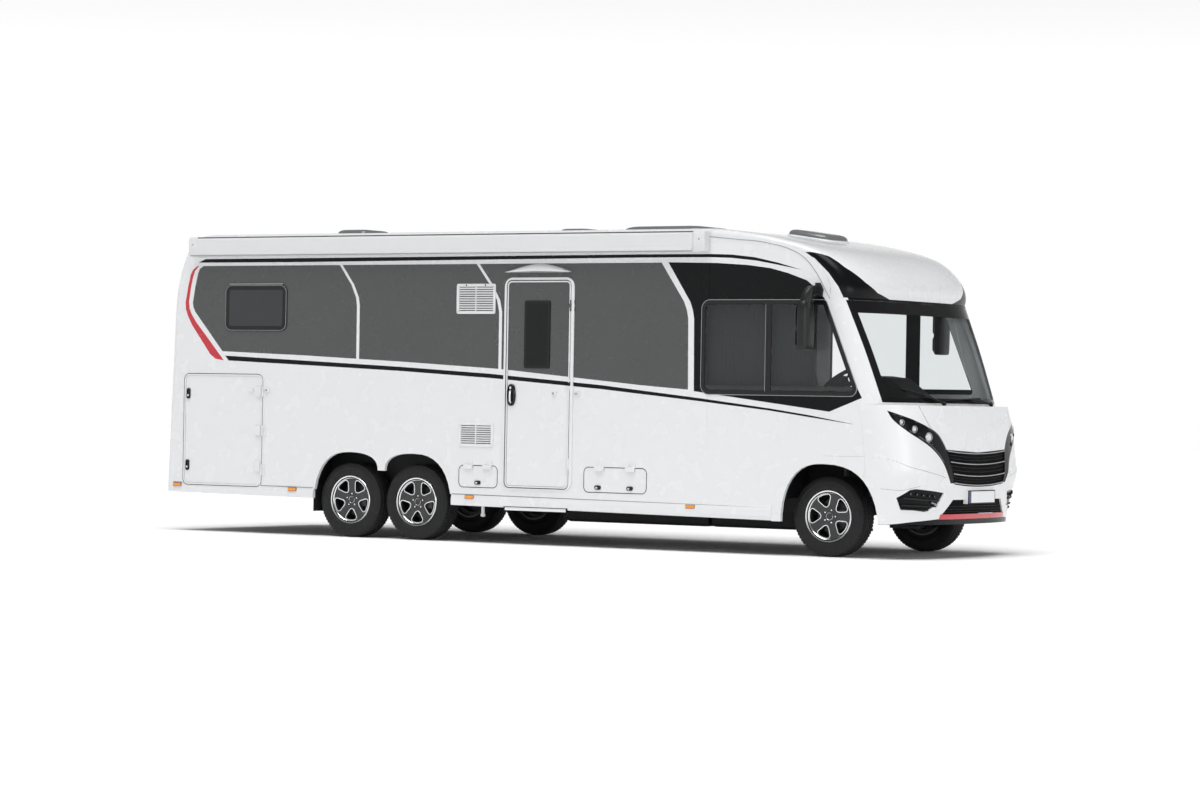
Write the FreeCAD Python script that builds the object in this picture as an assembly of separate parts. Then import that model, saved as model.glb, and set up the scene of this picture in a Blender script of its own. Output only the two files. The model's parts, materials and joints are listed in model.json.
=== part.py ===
import FreeCAD, Part
import math
import os

# Motorhome with a tandem rear axle. Millimetres, +X forward, +Y left, +Z up.
# The origin is on the ground under the middle of the bounding box.

# Body envelope
half_length = 4127.0
half_width = 1175.0
roof_z = 2875.0
wall = 35.0
roof_edge_radius = 60.0
wall_top_z = roof_z - roof_edge_radius
sill_z = 444.0
sill_rear_z = 378.0
bumper_bottom_z = 302.0
cab_run = 2127.0
cab_x = half_length - cab_run
body_run = half_length + cab_x
overrun = 60.0
seat_gap = 0.3
panel_gap = 0.8
pin_clearance = 0.05
tolerance = 1.0
aligned_share = 0.9
sliver_share = 0.02
full_turn_angle = 360.0

# Rear end in side view
rear_lean_share = 0.58
rear_lean = 53.0
rear_crown_drop = 339.0
rear_crown = 132.0
rear_shoulder_drop = 85.0
rear_shoulder = 262.0
rear_roof_run = 567.0
rear_corner = 85.0
rear_lean_z = sill_z + rear_lean_share * (roof_z - sill_z)
rear_crown_z = roof_z - rear_crown_drop
rear_shoulder_z = roof_z - rear_shoulder_drop
rear_roof_x = rear_roof_run - half_length

# Nose: bumper, fenders and bonnet
nose_inset = 20.0
nose_x = half_length - nose_inset
nose_lean = 107.0
nose_corner = 524.0
nose_shell = 30.0
bonnet_top_z = 1337.0
nose_height = bonnet_top_z - bumper_bottom_z
nose_height_shares = (0, 0.12, 0.25, 0.38, 0.45, 0.54, 0.66, 0.80, 1)
nose_lean_shares = (0.44, 0.20, 0.07, 0, 0, 0.14, 0.30, 0.47, 1)
nose_corner_shares = (1.145, 1.145, 1.10, 1.03, 1, 0.98, 0.97, 0.96, 0.954)
nose_power_shares = (2.7, 2.7, 2.9, 3.2, 3.3, 3.3, 3.3, 3.3, 3.3)
plan_step_count = 32
fine_share = 12
level_count = 16

# Windscreen and front roof cap, as distances behind the front end and below the roof
screen_base_back = 253.0
screen_mid_back = 422.0
screen_top_back = 615.0
screen_drop = 616.0
screen_base_x = half_length - screen_base_back
screen_mid_x = half_length - screen_mid_back
screen_top_x = half_length - screen_top_back
screen_top_z = roof_z - screen_drop
screen_base_corner = 413.0
screen_top_corner = 303.0
screen_power_share = 3.0
glass = 8.0
screen_foot_inset = 85.0
screen_head_inset = 35.0
screen_strip = 20.0
screen_fit = 1.0
cap_backs = (597.0, 707.0, 957.0, 1427.0, 1812.0)
cap_drops = (551.0, 360.0, 198.0, 85.0, 29.0)
cap_joint = 2.5

# Front outlines, as shares of the half width and of the nose's height
outline_step_count = 3
bonnet_gap = 5.0
bonnet_seam_shares = ((0.742, 1), (0.711, 0.903), (0.671, 0.807))
lamp_upper_shares = ((0.967, 0.952), (0.909, 0.917), (0.806, 0.872), (0.671, 0.807),
                     (0.589, 0.758), (0.534, 0.697), (0.489, 0.626))
lamp_lower_shares = ((0.460, 0.349), (0.514, 0.434), (0.551, 0.510), (0.604, 0.578),
                     (0.688, 0.650), (0.786, 0.712), (0.864, 0.764), (0.923, 0.824),
                     (0.954, 0.882), (0.967, 0.952))
grille_foot_shares = (0.417, 0.349)
grille_sag = 25.0
grille_inset = 16.0
grille_bar = 15.0
grille_bar_shares = (0.93, 0.66, 0.36, 0.06)
bumper_seam_shares = ((1, 0.565), (0.940, 0.519), (0.771, 0.454), (0.500, 0.395), (0.460, 0.349))
fog_shares = ((0.926, 0.227), (0.862, 0.295), (0.820, 0.303), (0.627, 0.282),
              (0.529, 0.269), (0.580, 0.177), (0.696, 0.110), (0.888, 0.135))
fog_inset = 12.0
intake_shares = ((0.400, 0.209), (0.511, 0.087))
bar_share = 0.532
bar_height_shares = (0.0444, 0.087)
bar_proud = 4.0
plate_length = 520.0
plate_height = 110.0
plate = 4.0
plate_share = 0.230
plate_z = bumper_bottom_z + plate_share * nose_height
plate_border = 4.0

# Wheels
tyre_radius = 355.0
tyre_width = 225.0
tyre_shoulder = 32.0
rim_radius = 229.0
rim_flange = 12.0
rim_barrel = 10.0
rim_depth = 100.0
bead_depth = 26.0
bead_radius = rim_radius - bead_depth
spoke_face = 84.0
spoke = 22.0
spoke_windows = 5
window_inner = 92.0
window_outer = 190.0
window_inner_half = 22.0
window_outer_half = 66.0
window_corner = 16.0
hub_radius = 72.0
stub_radius = 30.0
stub_end = 50.0
stub_hole_end = 56.0
hub_back = 10.0
disc_radius = 150.0
disc = 28.0
rear_wheel_inset = 177.5
front_wheel_inset = 277.5
rear_track = 2 * (half_width - rear_wheel_inset)
front_track = 2 * (half_width - front_wheel_inset)
tandem_share = 0.4182
tyre_space = 53.5
axle_spacing = 2 * tyre_radius + tyre_space
tandem_x = tandem_share * body_run - half_length
rear_axle_x = tandem_x - axle_spacing / 2
middle_axle_x = tandem_x + axle_spacing / 2
front_overhang = 989.3
front_axle_x = half_length - front_overhang

# Wheel arches in side view, set out from the axles and the tops of the tyres
rear_arch_behind = 384.5
rear_arch_ahead = 445.0
rear_arch_top_shift = 29.5
middle_arch_top_shift = 5.0
rear_arch_height = 96.0
saddle_ahead = 22.7
saddle_drop = 70.0
front_arch_behind = 382.7
front_arch_ahead = 562.3
front_arch_top_shift = 24.3
front_arch_height = 104.0
rear_arch_feet = (rear_axle_x - rear_arch_behind, middle_axle_x + rear_arch_ahead)
rear_arch_tops = (rear_axle_x + rear_arch_top_shift, middle_axle_x + middle_arch_top_shift)
rear_arch_top_z = 2 * tyre_radius + rear_arch_height
rear_arch_saddle = (tandem_x + saddle_ahead, 2 * tyre_radius - saddle_drop)
rear_arch_saddle_half = 40.0
front_arch_feet = (front_axle_x - front_arch_behind, front_axle_x + front_arch_ahead)
front_arch_top = (front_axle_x + front_arch_top_shift, 2 * tyre_radius + front_arch_height)
arch_power_share = 2.5
arch_step_count = 10
liner = 10.0
rear_liner_inset = 330.0
front_liner_inset = 620.0
rear_liner_inner = half_width - rear_liner_inset
front_liner_inner = half_width - front_liner_inset
liner_height = 112.0
liner_top_z = 2 * tyre_radius + liner_height
liner_margin = 30.0
front_liner_foot_z = 600.0
flap = 8.0
flap_low_z = 235.0

# Floor and chassis
floor_low_z = 500.0
floor_top_z = 560.0
rail_inset = 730.0
rail_half = half_width - rail_inset
rail = 60.0
rail_low_z = 360.0
rail_rear_inset = 177.0
rail_front_inset = 247.0
rail_rear_x = rail_rear_inset - half_length
rail_front_x = half_length - rail_front_inset
cross_shares = (0.006, 0.172, 0.305, 0.466, 0.619, 0.773, 0.926, 0.987)
cross_depth = 60.0
cross_low_z = 420.0
tow_hole_radius = 6.5
tow_hole_spacing_x = 100.0
tow_hole_spacing_z = 60.0
tow_hole_run = 120.0
tow_hole_z = 430.0
axle_tube = 45.0
axle_ahead = 190.0
axle_tube_z = 400.0
axle_boss_share = 1.3
axle_arm_share = 0.8
arm = 26.0
arm_gap = 14.0

# Front suspension and knuckles
kingpin_inset = 107.5
kingpin_radius = 11.0
knuckle_radius = 30.0
knuckle_low_z = 245.0
knuckle_high_z = 470.0
wishbone = 26.0
wishbone_half = 34.0
wishbone_root_half = 150.0
strut_radius = 24.0
strut_inset = 100.0

# Doors and hatches: places along the side as shares of the bays before and behind the rear wheels
rear_bay_x = -half_length
rear_bay = rear_arch_feet[0] - rear_bay_x
side_bay_x = rear_arch_feet[1]
side_bay = cab_x - side_bay_x
door_gap = 7.0
door_corner = 45.0
door_shares = (0.2162, 0.4686)
door_sill = 80.0
door_drop = 460.0
door_x = tuple(side_bay_x + share * side_bay for share in door_shares)
door_z = (sill_z + door_sill, roof_z - door_drop)
door_window_shares = (0.278, 0.683)
door_window_drops = (800.0, 180.0)
door_window_x = tuple(door_x[0] + share * (door_x[1] - door_x[0]) for share in door_window_shares)
door_window_z = tuple(door_z[1] - drop for drop in door_window_drops)
garage_shares = (0.1203, 0.6525)
garage_sill = 8.0
garage_drop = 1349.0
garage_x = tuple(rear_bay_x + share * rear_bay for share in garage_shares)
garage_z = (sill_z + garage_sill, roof_z - garage_drop)
garage_corner = 60.0
small_hatch_shares = (0.0310, 0.1848)
small_hatch_rises = (71.0, 266.0)
small_hatch_x = tuple(side_bay_x + share * side_bay for share in small_hatch_shares)
small_hatch_z = tuple(sill_z + rise for rise in small_hatch_rises)
large_hatch_shares = (0.5318, 0.7717)
large_hatch_rises = (61.0, 281.0)
large_hatch_x = tuple(side_bay_x + share * side_bay for share in large_hatch_shares)
large_hatch_z = tuple(sill_z + rise for rise in large_hatch_rises)
hatch_corner = 45.0
hinge_out = 10.0
hinge_radius = 8.0
hinge_leaf = 6.0
hinge_reach = 42.0
hinge_length = 34.0
hinge_space = 0.4
hinge_part_shares = (-1.5, -0.5, 0.5)
entrance_hinge_shares = (0.12, 0.5, 0.88)
garage_hinge_shares = (0.15, 0.5, 0.85)
hatch_hinge_shares = (0.25, 0.75)

# Windows and vents
frame_lap = 22.0
window_proud = 12.0
window_corner_radius = 55.0
bed_window_shares = (0.4059, 0.8018)
bed_window_drops = (929.0, 497.0)
bed_window_x = tuple(rear_bay_x + share * rear_bay for share in bed_window_shares)
bed_window_z = tuple(roof_z - drop for drop in bed_window_drops)
left_window_shares = ((0.014, 0.27), (0.489, 0.89))
left_window_drops = (1175.0, 625.0)
left_window_xs = [bed_window_x] + [tuple(side_bay_x + share * side_bay for share in shares)
                                   for shares in left_window_shares]
left_window_z = tuple(roof_z - drop for drop in left_window_drops)
cab_window_rear = 76.0
cab_window_foot_back = 598.0
cab_window_head_back = 948.0
cab_window_rise = 63.0
cab_window_top = 16.0
cab_window_radius = 70.0
cab_window_lap = 42.0
cab_glass = 6.0
vent_shares = (0.0102, 0.1680)
upper_vent_drops = (763.0, 485.0)
lower_vent_shares = (0.0266, 0.1672)
lower_vent_rises = (444.0, 667.0)
vent_x = tuple(side_bay_x + share * side_bay for share in vent_shares)
upper_vent_z = tuple(roof_z - drop for drop in upper_vent_drops)
lower_vent_x = tuple(side_bay_x + share * side_bay for share in lower_vent_shares)
lower_vent_z = tuple(sill_z + rise for rise in lower_vent_rises)
vent_proud = 8.0
vent_slot = 9.0
vent_slot_depth = 5.0
vent_slats = 10
vent_border = 26.0

# Skirts and entrance step
skirt = 30.0
skirt_bulge = 8.0
skirt_bulge_shares = (0.35, 0.7)
skirt_end = 90.0
step_side = 5.0
step_x = (door_x[0] - step_side, door_x[1] + step_side)
step_notch_z = 348.0
step_tray = 30.0
step_depth = 280.0
step_z = 310.0
step_clearance = 6.0
step_housing = 8.0

# Roof and awning
awning_rear_inset = 387.0
awning_front_inset = 150.0
awning_drops = (215.0, 29.0)
awning_x = (awning_rear_inset - half_length, cab_x - awning_front_inset)
awning_z = tuple(roof_z - drop for drop in awning_drops)
awning_depth = 95.0
awning_cap = 135.0
rear_hatch_share = 0.2427
rear_hatch_length = 400.0
rear_hatch_half = 250.0
rear_hatch_height = 92.0
middle_hatch_share = 0.6573
middle_hatch_length = 330.0
middle_hatch_half = 200.0
middle_hatch_height = 75.0
skylight_share = 0.8311
skylight_length = 930.0
skylight_half = 340.0
skylight_height = 82.0
hatch_taper = 45.0
front_hatch_backs = (1927.0, 1437.0)
front_hatch_x = tuple(half_length - back for back in front_hatch_backs)
front_hatch_half = 250.0
front_hatch_height = 60.0

# Mirrors
mirror_backs = (1137.0, 1022.0)
mirror_outs = (37.0, 235.0)
mirror_drops = (453.0, 24.0)
mirror_x = tuple(half_length - back for back in mirror_backs)
mirror_y = tuple(half_width + out for out in mirror_outs)
mirror_z = tuple(screen_top_z - drop for drop in mirror_drops)
mirror_corner = 30.0
mirror_arm = 17.0
mirror_arm_back = 1007.0
mirror_arm_rise = 90.0
mirror_arm_x = half_length - mirror_arm_back
mirror_arm_z = screen_top_z + mirror_arm_rise

# Cab fittings
dash_backs = (1477.0, 327.0)
dash_x = tuple(half_length - back for back in dash_backs)
dash_drop = 47.0
dash_top_z = bonnet_top_z - dash_drop
dash_low_z = 900.0
dash_inset = 90.0
dash_half = half_width - dash_inset
hood_backs = (1347.0, 1367.0, 1327.0, 1227.0, 1047.0, 827.0, 747.0)
hood_rises = (-20.0, 110.0, 270.0, 310.0, 290.0, 130.0, -20.0)
hood_half = 235.0
hood_corner = 40.0
seat_y = 470.0
seat_ahead = 20.0
seat_x = cab_x + seat_ahead
seat_width = 500.0
seat_depth = 480.0
cushion = 130.0
cushion_z = 960.0
back_height = 700.0
back_lean_share = 0.16
neck_share = 0.35
head_share = 0.5
head_height_share = 1.5
column_radius = 12.0
column_back = 1467.0
column_shift = 50.0
column_rise = 5.0
column_x = half_length - column_back
column_y = seat_y - column_shift
column_z = dash_top_z + column_rise
column_angle = 50.0
column_length = 300.0
column_root_share = 0.6
steering_radius = 205.0
steering_rim = 16.0
hub_back_share = 2.5
wheel_spoke_share = 0.7
engine_backs = (767.0, 367.0)
engine_x = tuple(half_length - back for back in engine_backs)
engine_half = 300.0
engine_height = 480.0
waste_tank_shares = (0.2805, 0.8393)
fuel_tank_shares = (0.853, 1.2)
tank_low_z = 200.0
tank_space = 5.0
tank_corner = 35.0
tank_half = rail_half - rail - tank_space

# Bonnet hinge, scuttle and wipers
bonnet_axis_back = 277.0
bonnet_axis_drop = 47.0
bonnet_axis_x = half_length - bonnet_axis_back
bonnet_axis_z = bonnet_top_z - bonnet_axis_drop
bonnet_arm_y = 480.0
bonnet_arm = 12.0
bonnet_boss = 14.0
bonnet_pin = 7.0
bonnet_elbow_ahead = 85.0
bonnet_elbow_drop = 130.0
bonnet_elbow_x = bonnet_axis_x + bonnet_elbow_ahead
bonnet_elbow_z = bonnet_axis_z - bonnet_elbow_drop
scuttle = 20.0
scuttle_gap = 25.0
wiper = 12.0
wiper_foot_shares = (-0.753, -0.200)
wiper_length_share = 0.528
lamp_box_insets = (190.0, 80.0)
lamp_box_rises = (256.0, 676.0)
lamp_box_y = tuple(half_width - inset for inset in lamp_box_insets)
lamp_box_z = tuple(sill_z + rise for rise in lamp_box_rises)
lamp_box = 24.0
bumper_rear_depth = 60.0
bumper_round_share = 0.7


def vec(x, y, z):
    return FreeCAD.Vector(x, y, z)


def box(xs, ys, zs):
    low = vec(min(xs), min(ys), min(zs))
    return Part.makeBox(abs(xs[1] - xs[0]), abs(ys[1] - ys[0]), abs(zs[1] - zs[0]), low)


def prism_y(points, ys):
    corners = [vec(x, min(ys), z) for x, z in points]
    face = Part.Face(Part.makePolygon(corners + corners[:1]))
    return face.extrude(vec(0, abs(ys[1] - ys[0]), 0))


def prism_x(points, xs):
    corners = [vec(min(xs), y, z) for y, z in points]
    face = Part.Face(Part.makePolygon(corners + corners[:1]))
    return face.extrude(vec(abs(xs[1] - xs[0]), 0, 0))


def prism_z(points, zs):
    corners = [vec(x, y, min(zs)) for x, y in points]
    face = Part.Face(Part.makePolygon(corners + corners[:1]))
    return face.extrude(vec(0, 0, abs(zs[1] - zs[0])))


def cylinder_y(x, z, radius, ys):
    return Part.makeCylinder(radius, abs(ys[1] - ys[0]), vec(x, min(ys), z), vec(0, 1, 0))


def cylinder_z(x, y, radius, zs):
    return Part.makeCylinder(radius, abs(zs[1] - zs[0]), vec(x, y, min(zs)), vec(0, 0, 1))


def rod(start, end, radius):
    line = end - start
    return Part.makeCylinder(radius, line.Length, start, line)


def mirrored(shape):
    return shape.mirror(vec(0, 0, 0), vec(0, 1, 0))


def both_sides(shape):
    return [shape, mirrored(shape)]


def fused(shapes):
    return shapes[0].multiFuse(shapes[1:]).removeSplitter()


def largest(shape):
    return max(shape.Solids, key=lambda solid: solid.Volume)


def without_slivers(shape):
    """The solids of a shape, without the slivers that a cut leaves."""
    least = largest(shape).Volume * sliver_share
    return [solid for solid in shape.Solids if solid.Volume > least]


def rounded_y(xs, zs, radius, ys):
    block = box(xs, ys, zs)
    edges = [e for e in block.Edges if abs(e.tangentAt(e.FirstParameter).y) > aligned_share]
    return block.makeFillet(radius, edges)


def write(name, shapes):
    solids = [solid for shape in shapes for solid in shape.Solids]
    whole = solids[0] if len(solids) == 1 else Part.makeCompound(solids)
    whole.exportStep("parts/%s.step" % name)


def spread(points):
    """Points along the same line, closer together towards its two ends."""
    places = [0]
    for before, after in zip(points, points[1:]):
        places.append(places[-1] + (after - before).Length)
    chosen = []
    index = 0
    for step in range(plan_step_count + 1):
        place = places[-1] * (1 - math.cos(math.pi * step / plan_step_count)) / 2
        while index < len(points) - 2 and places[index + 1] < place:
            index += 1
        share = (place - places[index]) / (places[index + 1] - places[index])
        chosen.append(points[index] + (points[index + 1] - points[index]) * share)
    return chosen


def plan_points(reach, corner, power, inset):
    """Half-superellipse round the front at one height, from the right side to the left."""
    half = half_width - inset
    start = reach - corner
    depth = corner - inset
    count = plan_step_count * fine_share
    points = []
    for step in range(count + 1):
        angle = math.pi * (step / count - 1 / 2)
        across = math.copysign(abs(math.sin(angle)) ** (2 / power), angle) * half
        ahead = start + depth * abs(math.cos(angle)) ** (2 / power)
        points.append(vec(ahead, across, 0))
    return points


def level_rows(levels, inset):
    return [[point + vec(0, 0, level[0]) for point in spread(plan_points(*level[1:], inset))]
            for level in levels]


def mean_places(rows):
    """Shares along the rows at which their points lie, taken over all rows."""
    steps = []
    for index in range(1, len(rows[0])):
        steps.append(sum((row[index] - row[index - 1]).Length for row in rows))
    places = [0]
    for step in steps:
        places.append(places[-1] + step / sum(steps))
    return places


def curve_through(points, places):
    curve = Part.BSplineCurve()
    curve.interpolate(Points=points, Parameters=places)
    return curve


def surface(rows):
    """Smooth surface through a grid of points."""
    along = mean_places(rows)
    across = mean_places([list(column) for column in zip(*rows)])
    lines = [curve_through(row, along) for row in rows]
    columns = zip(*[line.getPoles() for line in lines])
    nets = [curve_through(list(column), across) for column in columns]
    poles = [list(row) for row in zip(*[net.getPoles() for net in nets])]
    skin = Part.BSplineSurface()
    skin.buildFromPolesMultsKnots(poles, nets[0].getMultiplicities(), lines[0].getMultiplicities(),
                                  nets[0].getKnots(), lines[0].getKnots(), False, False,
                                  nets[0].Degree, lines[0].Degree)
    return skin


def panel(outer_rows, inner_rows):
    """Closed solid between two smooth skins that have the same layout of points."""
    outer = surface(outer_rows)
    inner = surface(inner_rows)
    faces = [outer.toShape(), inner.toShape()]
    u0, u1, v0, v1 = outer.bounds()
    p0, p1, q0, q1 = inner.bounds()
    for near, far in ((u0, p0), (u1, p1)):
        faces.append(Part.makeRuledSurface(outer.uIso(near).toShape(), inner.uIso(far).toShape()))
    for near, far in ((v0, q0), (v1, q1)):
        faces.append(Part.makeRuledSurface(outer.vIso(near).toShape(), inner.vIso(far).toShape()))
    shell = Part.makeShell(faces)
    shell.sewShape()
    solid = Part.makeSolid(shell)
    if solid.Volume < 0:
        solid.reverse()
    return solid


def eased(places, values, share):
    """Smooth value at one share of the way through a table of places and values."""
    index = max(i for i in range(len(places) - 1) if places[i] <= share)
    slopes = []
    for i in (index, index + 1):
        low = max(i - 1, 0)
        high = min(i + 1, len(places) - 1)
        slopes.append((values[high] - values[low]) / (places[high] - places[low]))
    span = places[index + 1] - places[index]
    t = (share - places[index]) / span
    start = (1 + 2 * t) * (1 - t) ** 2 * values[index] + t * (1 - t) ** 2 * span * slopes[0]
    return start + t * t * (3 - 2 * t) * values[index + 1] + t * t * (t - 1) * span * slopes[1]


def nose_levels():
    levels = []
    for step in range(level_count + 1):
        share = step / level_count
        reach = nose_x - nose_lean * eased(nose_height_shares, nose_lean_shares, share)
        corner = nose_corner * eased(nose_height_shares, nose_corner_shares, share)
        power = eased(nose_height_shares, nose_power_shares, share)
        levels.append((bumper_bottom_z + share * nose_height, reach, corner, power))
    return levels


def screen_levels():
    levels = []
    for step in range(level_count + 1):
        share = step / level_count
        reach = eased((0, 0.5, 1), (screen_base_x, screen_mid_x, screen_top_x), share)
        corner = screen_base_corner + share * (screen_top_corner - screen_base_corner)
        z = bonnet_top_z + share * (screen_top_z - bonnet_top_z)
        levels.append((z, reach, corner, screen_power_share))
    return levels


def nose_panel(outer_inset, inner_inset):
    return panel(level_rows(nose_levels(), outer_inset), level_rows(nose_levels(), inner_inset))


def screen_panel(thickness):
    return panel(level_rows(screen_levels(), 0), level_rows(screen_levels(), thickness))


def cap_profile():
    middle = [(half_length - back, roof_z - drop) for back, drop in zip(cap_backs, cap_drops)]
    return [(screen_top_x, screen_top_z)] + middle + [(cab_x, roof_z)]


def cap_curve():
    """Evenly spaced points of the cap's side view and the direction at each."""
    crest_x = half_length - cap_backs[-1]
    corners = cap_profile() + [(2 * cab_x - crest_x, roof_z)]
    places = [0]
    for (x0, z0), (x1, z1) in zip(corners, corners[1:]):
        places.append(places[-1] + math.hypot(x1 - x0, z1 - z0))
    points = []
    for step in range(level_count + 1):
        place = places[-2] * step / level_count
        x, z = (eased(places, values, place) for values in zip(*corners))
        points.append(vec(x, 0, z))
    back = vec(cab_x - crest_x, 0, 0)
    ends = [points[0] * 2 - points[1]] + points + [points[-1] + back]
    return points, [(after - before).normalize() for before, after in zip(ends, ends[2:])]


def edge_drop(across):
    """How far the roof lies below its crest at one distance from the middle."""
    past = (across - half_width + roof_edge_radius) / roof_edge_radius
    return roof_edge_radius * (1 - math.sqrt(1 - max(past, 0) ** 2))


def cap_rows(inset):
    """Cap rows from the brow, round in plan, back to the roof, round at its edges."""
    plan = plan_points(0, screen_top_corner, screen_power_share, 0)
    scale = (half_width - inset) / half_width
    rows = []
    for index, (point, run) in enumerate(zip(*cap_curve())):
        share = index / level_count
        blend = share * share * (3 - 2 * share)
        moved = point + vec(-run.z, 0, run.x) * inset
        base_x = max(moved.x, cab_x + cap_joint)
        row = []
        for p in plan:
            z = moved.z - edge_drop(abs(p.y)) * blend
            row.append(vec(base_x + p.x * (1 - blend), p.y * scale, z))
        rows.append(spread(row))
    return rows


def cap_edge():
    """Side view of the cap's lower edge, from the brow back to the roof."""
    return [(row[0].x, row[0].z) for row in cap_rows(0)]


def front_points(shares):
    """Half widths and heights on the nose from shares of both."""
    return [(across * half_width, bumper_bottom_z + up * nose_height) for across, up in shares]


def smoothed(points):
    """The same line with more points, on a smooth curve through the old ones."""
    places = [0]
    for (y0, z0), (y1, z1) in zip(points, points[1:]):
        places.append(places[-1] + math.hypot(y1 - y0, z1 - z0))
    result = []
    for low, high in zip(places, places[1:]):
        for step in range(outline_step_count):
            place = low + (high - low) * step / outline_step_count
            result.append(tuple(eased(places, values, place) for values in zip(*points)))
    return result + [points[-1]]


def region_x(points, both=False):
    """Front outline in half widths and heights, pushed through the whole nose."""
    outline = list(points)
    if both:
        outline += [(-y, z) for y, z in reversed(points) if y > 0]
        return prism_x(outline, (cab_x, nose_x + overrun))
    return prism_x([(-y, z) for y, z in outline], (cab_x, nose_x + overrun))


def lamp_upper():
    return smoothed(front_points(lamp_upper_shares))


def lamp_lower():
    return smoothed(front_points(lamp_lower_shares))


def grille_corners():
    """Top corner, foot corner and the middle of the top and foot of the grille."""
    foot = front_points([grille_foot_shares])[0]
    top = lamp_upper()[-1]
    return top, foot, (0, top[1] - grille_sag), (0, foot[1] - grille_sag)


def bonnet_outline():
    seam = front_points(bonnet_seam_shares)
    upper = lamp_upper()
    joint = seam[-1]
    after = [point for point in upper if point[0] < joint[0] - tolerance]
    return [(seam[0][0], bonnet_top_z + overrun)] + seam + after + [grille_corners()[2]]


def grille_outline():
    top, foot, top_middle, foot_middle = grille_corners()
    return [top_middle, top, foot, foot_middle]


def lamp_outline():
    return lamp_upper() + [grille_corners()[1]] + lamp_lower()[:-1]


def bumper_outline():
    low = bumper_bottom_z - overrun
    seam = front_points(bumper_seam_shares)
    edge = [(half_width + overrun, low), (half_width + overrun, seam[0][1])] + seam
    return [(0, low)] + edge + [grille_corners()[1], grille_corners()[3]]


def quarter_arch(foot, top):
    """Points of one side of an arch, from its foot up to its top."""
    points = []
    for step in range(arch_step_count + 1):
        angle = math.pi / 2 * step / arch_step_count
        x = top[0] + (foot[0] - top[0]) * math.cos(angle) ** (2 / arch_power_share)
        z = foot[1] + (top[1] - foot[1]) * math.sin(angle) ** (2 / arch_power_share)
        points.append((x, z))
    return points


def front_arch_points():
    low = bumper_bottom_z - overrun
    rear = quarter_arch((front_arch_feet[0], low), front_arch_top)
    front = quarter_arch((front_arch_feet[1], low), front_arch_top)
    return rear + front[::-1][1:]


def rear_arch_points():
    low = bumper_bottom_z - overrun
    saddle_x, saddle_z = rear_arch_saddle
    tops = [(x, rear_arch_top_z) for x in rear_arch_tops]
    first = quarter_arch((rear_arch_feet[0], low), tops[0])
    down = quarter_arch((saddle_x - rear_arch_saddle_half, saddle_z), tops[0])[::-1]
    up = quarter_arch((saddle_x + rear_arch_saddle_half, saddle_z), tops[1])
    last = quarter_arch((rear_arch_feet[1], low), tops[1])[::-1]
    return first + down[1:] + up + last[1:]


def arch_cutter():
    ys = (-half_width - overrun, half_width + overrun)
    return prism_y(front_arch_points(), ys).fuse(prism_y(rear_arch_points(), ys))


def hull(inset):
    """Body behind the cab as one solid, inset by a wall thickness."""
    low = sill_z - (overrun if inset else 0)
    foot = vec(-half_length + inset, 0, low)
    lean = vec(-half_length + rear_lean + inset, 0, rear_lean_z)
    crown = vec(-half_length + rear_crown + inset, 0, rear_crown_z)
    shoulder = vec(-half_length + rear_shoulder + inset, 0, rear_shoulder_z - inset)
    roof_start = vec(rear_roof_x + inset, 0, roof_z - inset)
    curve = Part.BSplineCurve()
    start_run = vec(rear_lean, 0, rear_lean_z - sill_z)
    end_run = vec(rear_lean_z, 0, 0)
    curve.interpolate([lean, crown, shoulder, roof_start], InitialTangent=start_run, FinalTangent=end_run)
    front_x = cab_x + (overrun if inset else 0)
    front = [vec(front_x, 0, roof_z - inset), vec(front_x, 0, low)]
    rest = Part.makePolygon([roof_start] + front + [foot, lean])
    half = half_width - inset
    face = Part.Face(Part.Wire([curve.toShape()] + rest.Edges))
    face.translate(vec(0, -half, 0))
    return face.extrude(vec(0, 2 * half, 0))


def rounded_hull():
    block = hull(0)
    edges = []
    for edge in block.Edges:
        bounds = edge.BoundBox
        on_side = bounds.YLength < tolerance and abs(abs(bounds.YMin) - half_width) < tolerance
        low = bounds.ZMax < sill_z + tolerance
        front = bounds.XMin > cab_x - tolerance
        if on_side and not low and not front:
            edges.append(edge)
    return block.makeFillet(roof_edge_radius, edges)


def hinge(length, wall_side):
    """Half of a surface hinge: its axis along Z at the origin, outside towards -Y."""
    barrel = Part.makeCylinder(hinge_radius, length, vec(0, 0, 0), vec(0, 0, 1))
    reach = hinge_reach if wall_side else -hinge_reach
    leaf = box((0, reach), (hinge_out, hinge_out - hinge_leaf), (0, length))
    return barrel.fuse(leaf)


def upright_hinges(x, zs):
    """Wall halves and door halves of hinges on an upright axis on the right side."""
    walls = []
    doors = []
    for z in zs:
        for share, wall_side in zip(hinge_part_shares, (True, False, True)):
            piece = hinge(hinge_length - hinge_space, wall_side)
            piece.translate(vec(x, -half_width - hinge_out, z + share * hinge_length))
            (walls if wall_side else doors).append(piece)
    return walls, doors


def level_hinges(z, xs):
    """The same on a level axis along the top edge of a hatch."""
    walls = []
    doors = []
    for x in xs:
        for share, wall_side in zip(hinge_part_shares, (True, False, True)):
            piece = hinge(hinge_length - hinge_space, wall_side)
            piece.rotate(vec(0, 0, 0), vec(0, 1, 0), -full_turn_angle / 4)
            piece.translate(vec(x - share * hinge_length, -half_width - hinge_out, z))
            (walls if wall_side else doors).append(piece)
    return walls, doors


def opening(xs, zs, radius):
    ys = (-half_width - overrun, -half_width + wall + overrun)
    return rounded_y((xs[0] - door_gap, xs[1] + door_gap), (zs[0] - door_gap, zs[1] + door_gap),
                     radius + door_gap, ys)


def leaf_panel(xs, zs, radius):
    return rounded_y(xs, zs, radius, (-half_width, -half_width + wall))


def entrance_hinges():
    height = door_z[1] - door_z[0]
    zs = [door_z[0] + share * height for share in entrance_hinge_shares]
    return upright_hinges(door_x[1] + door_gap / 2, zs)


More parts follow.
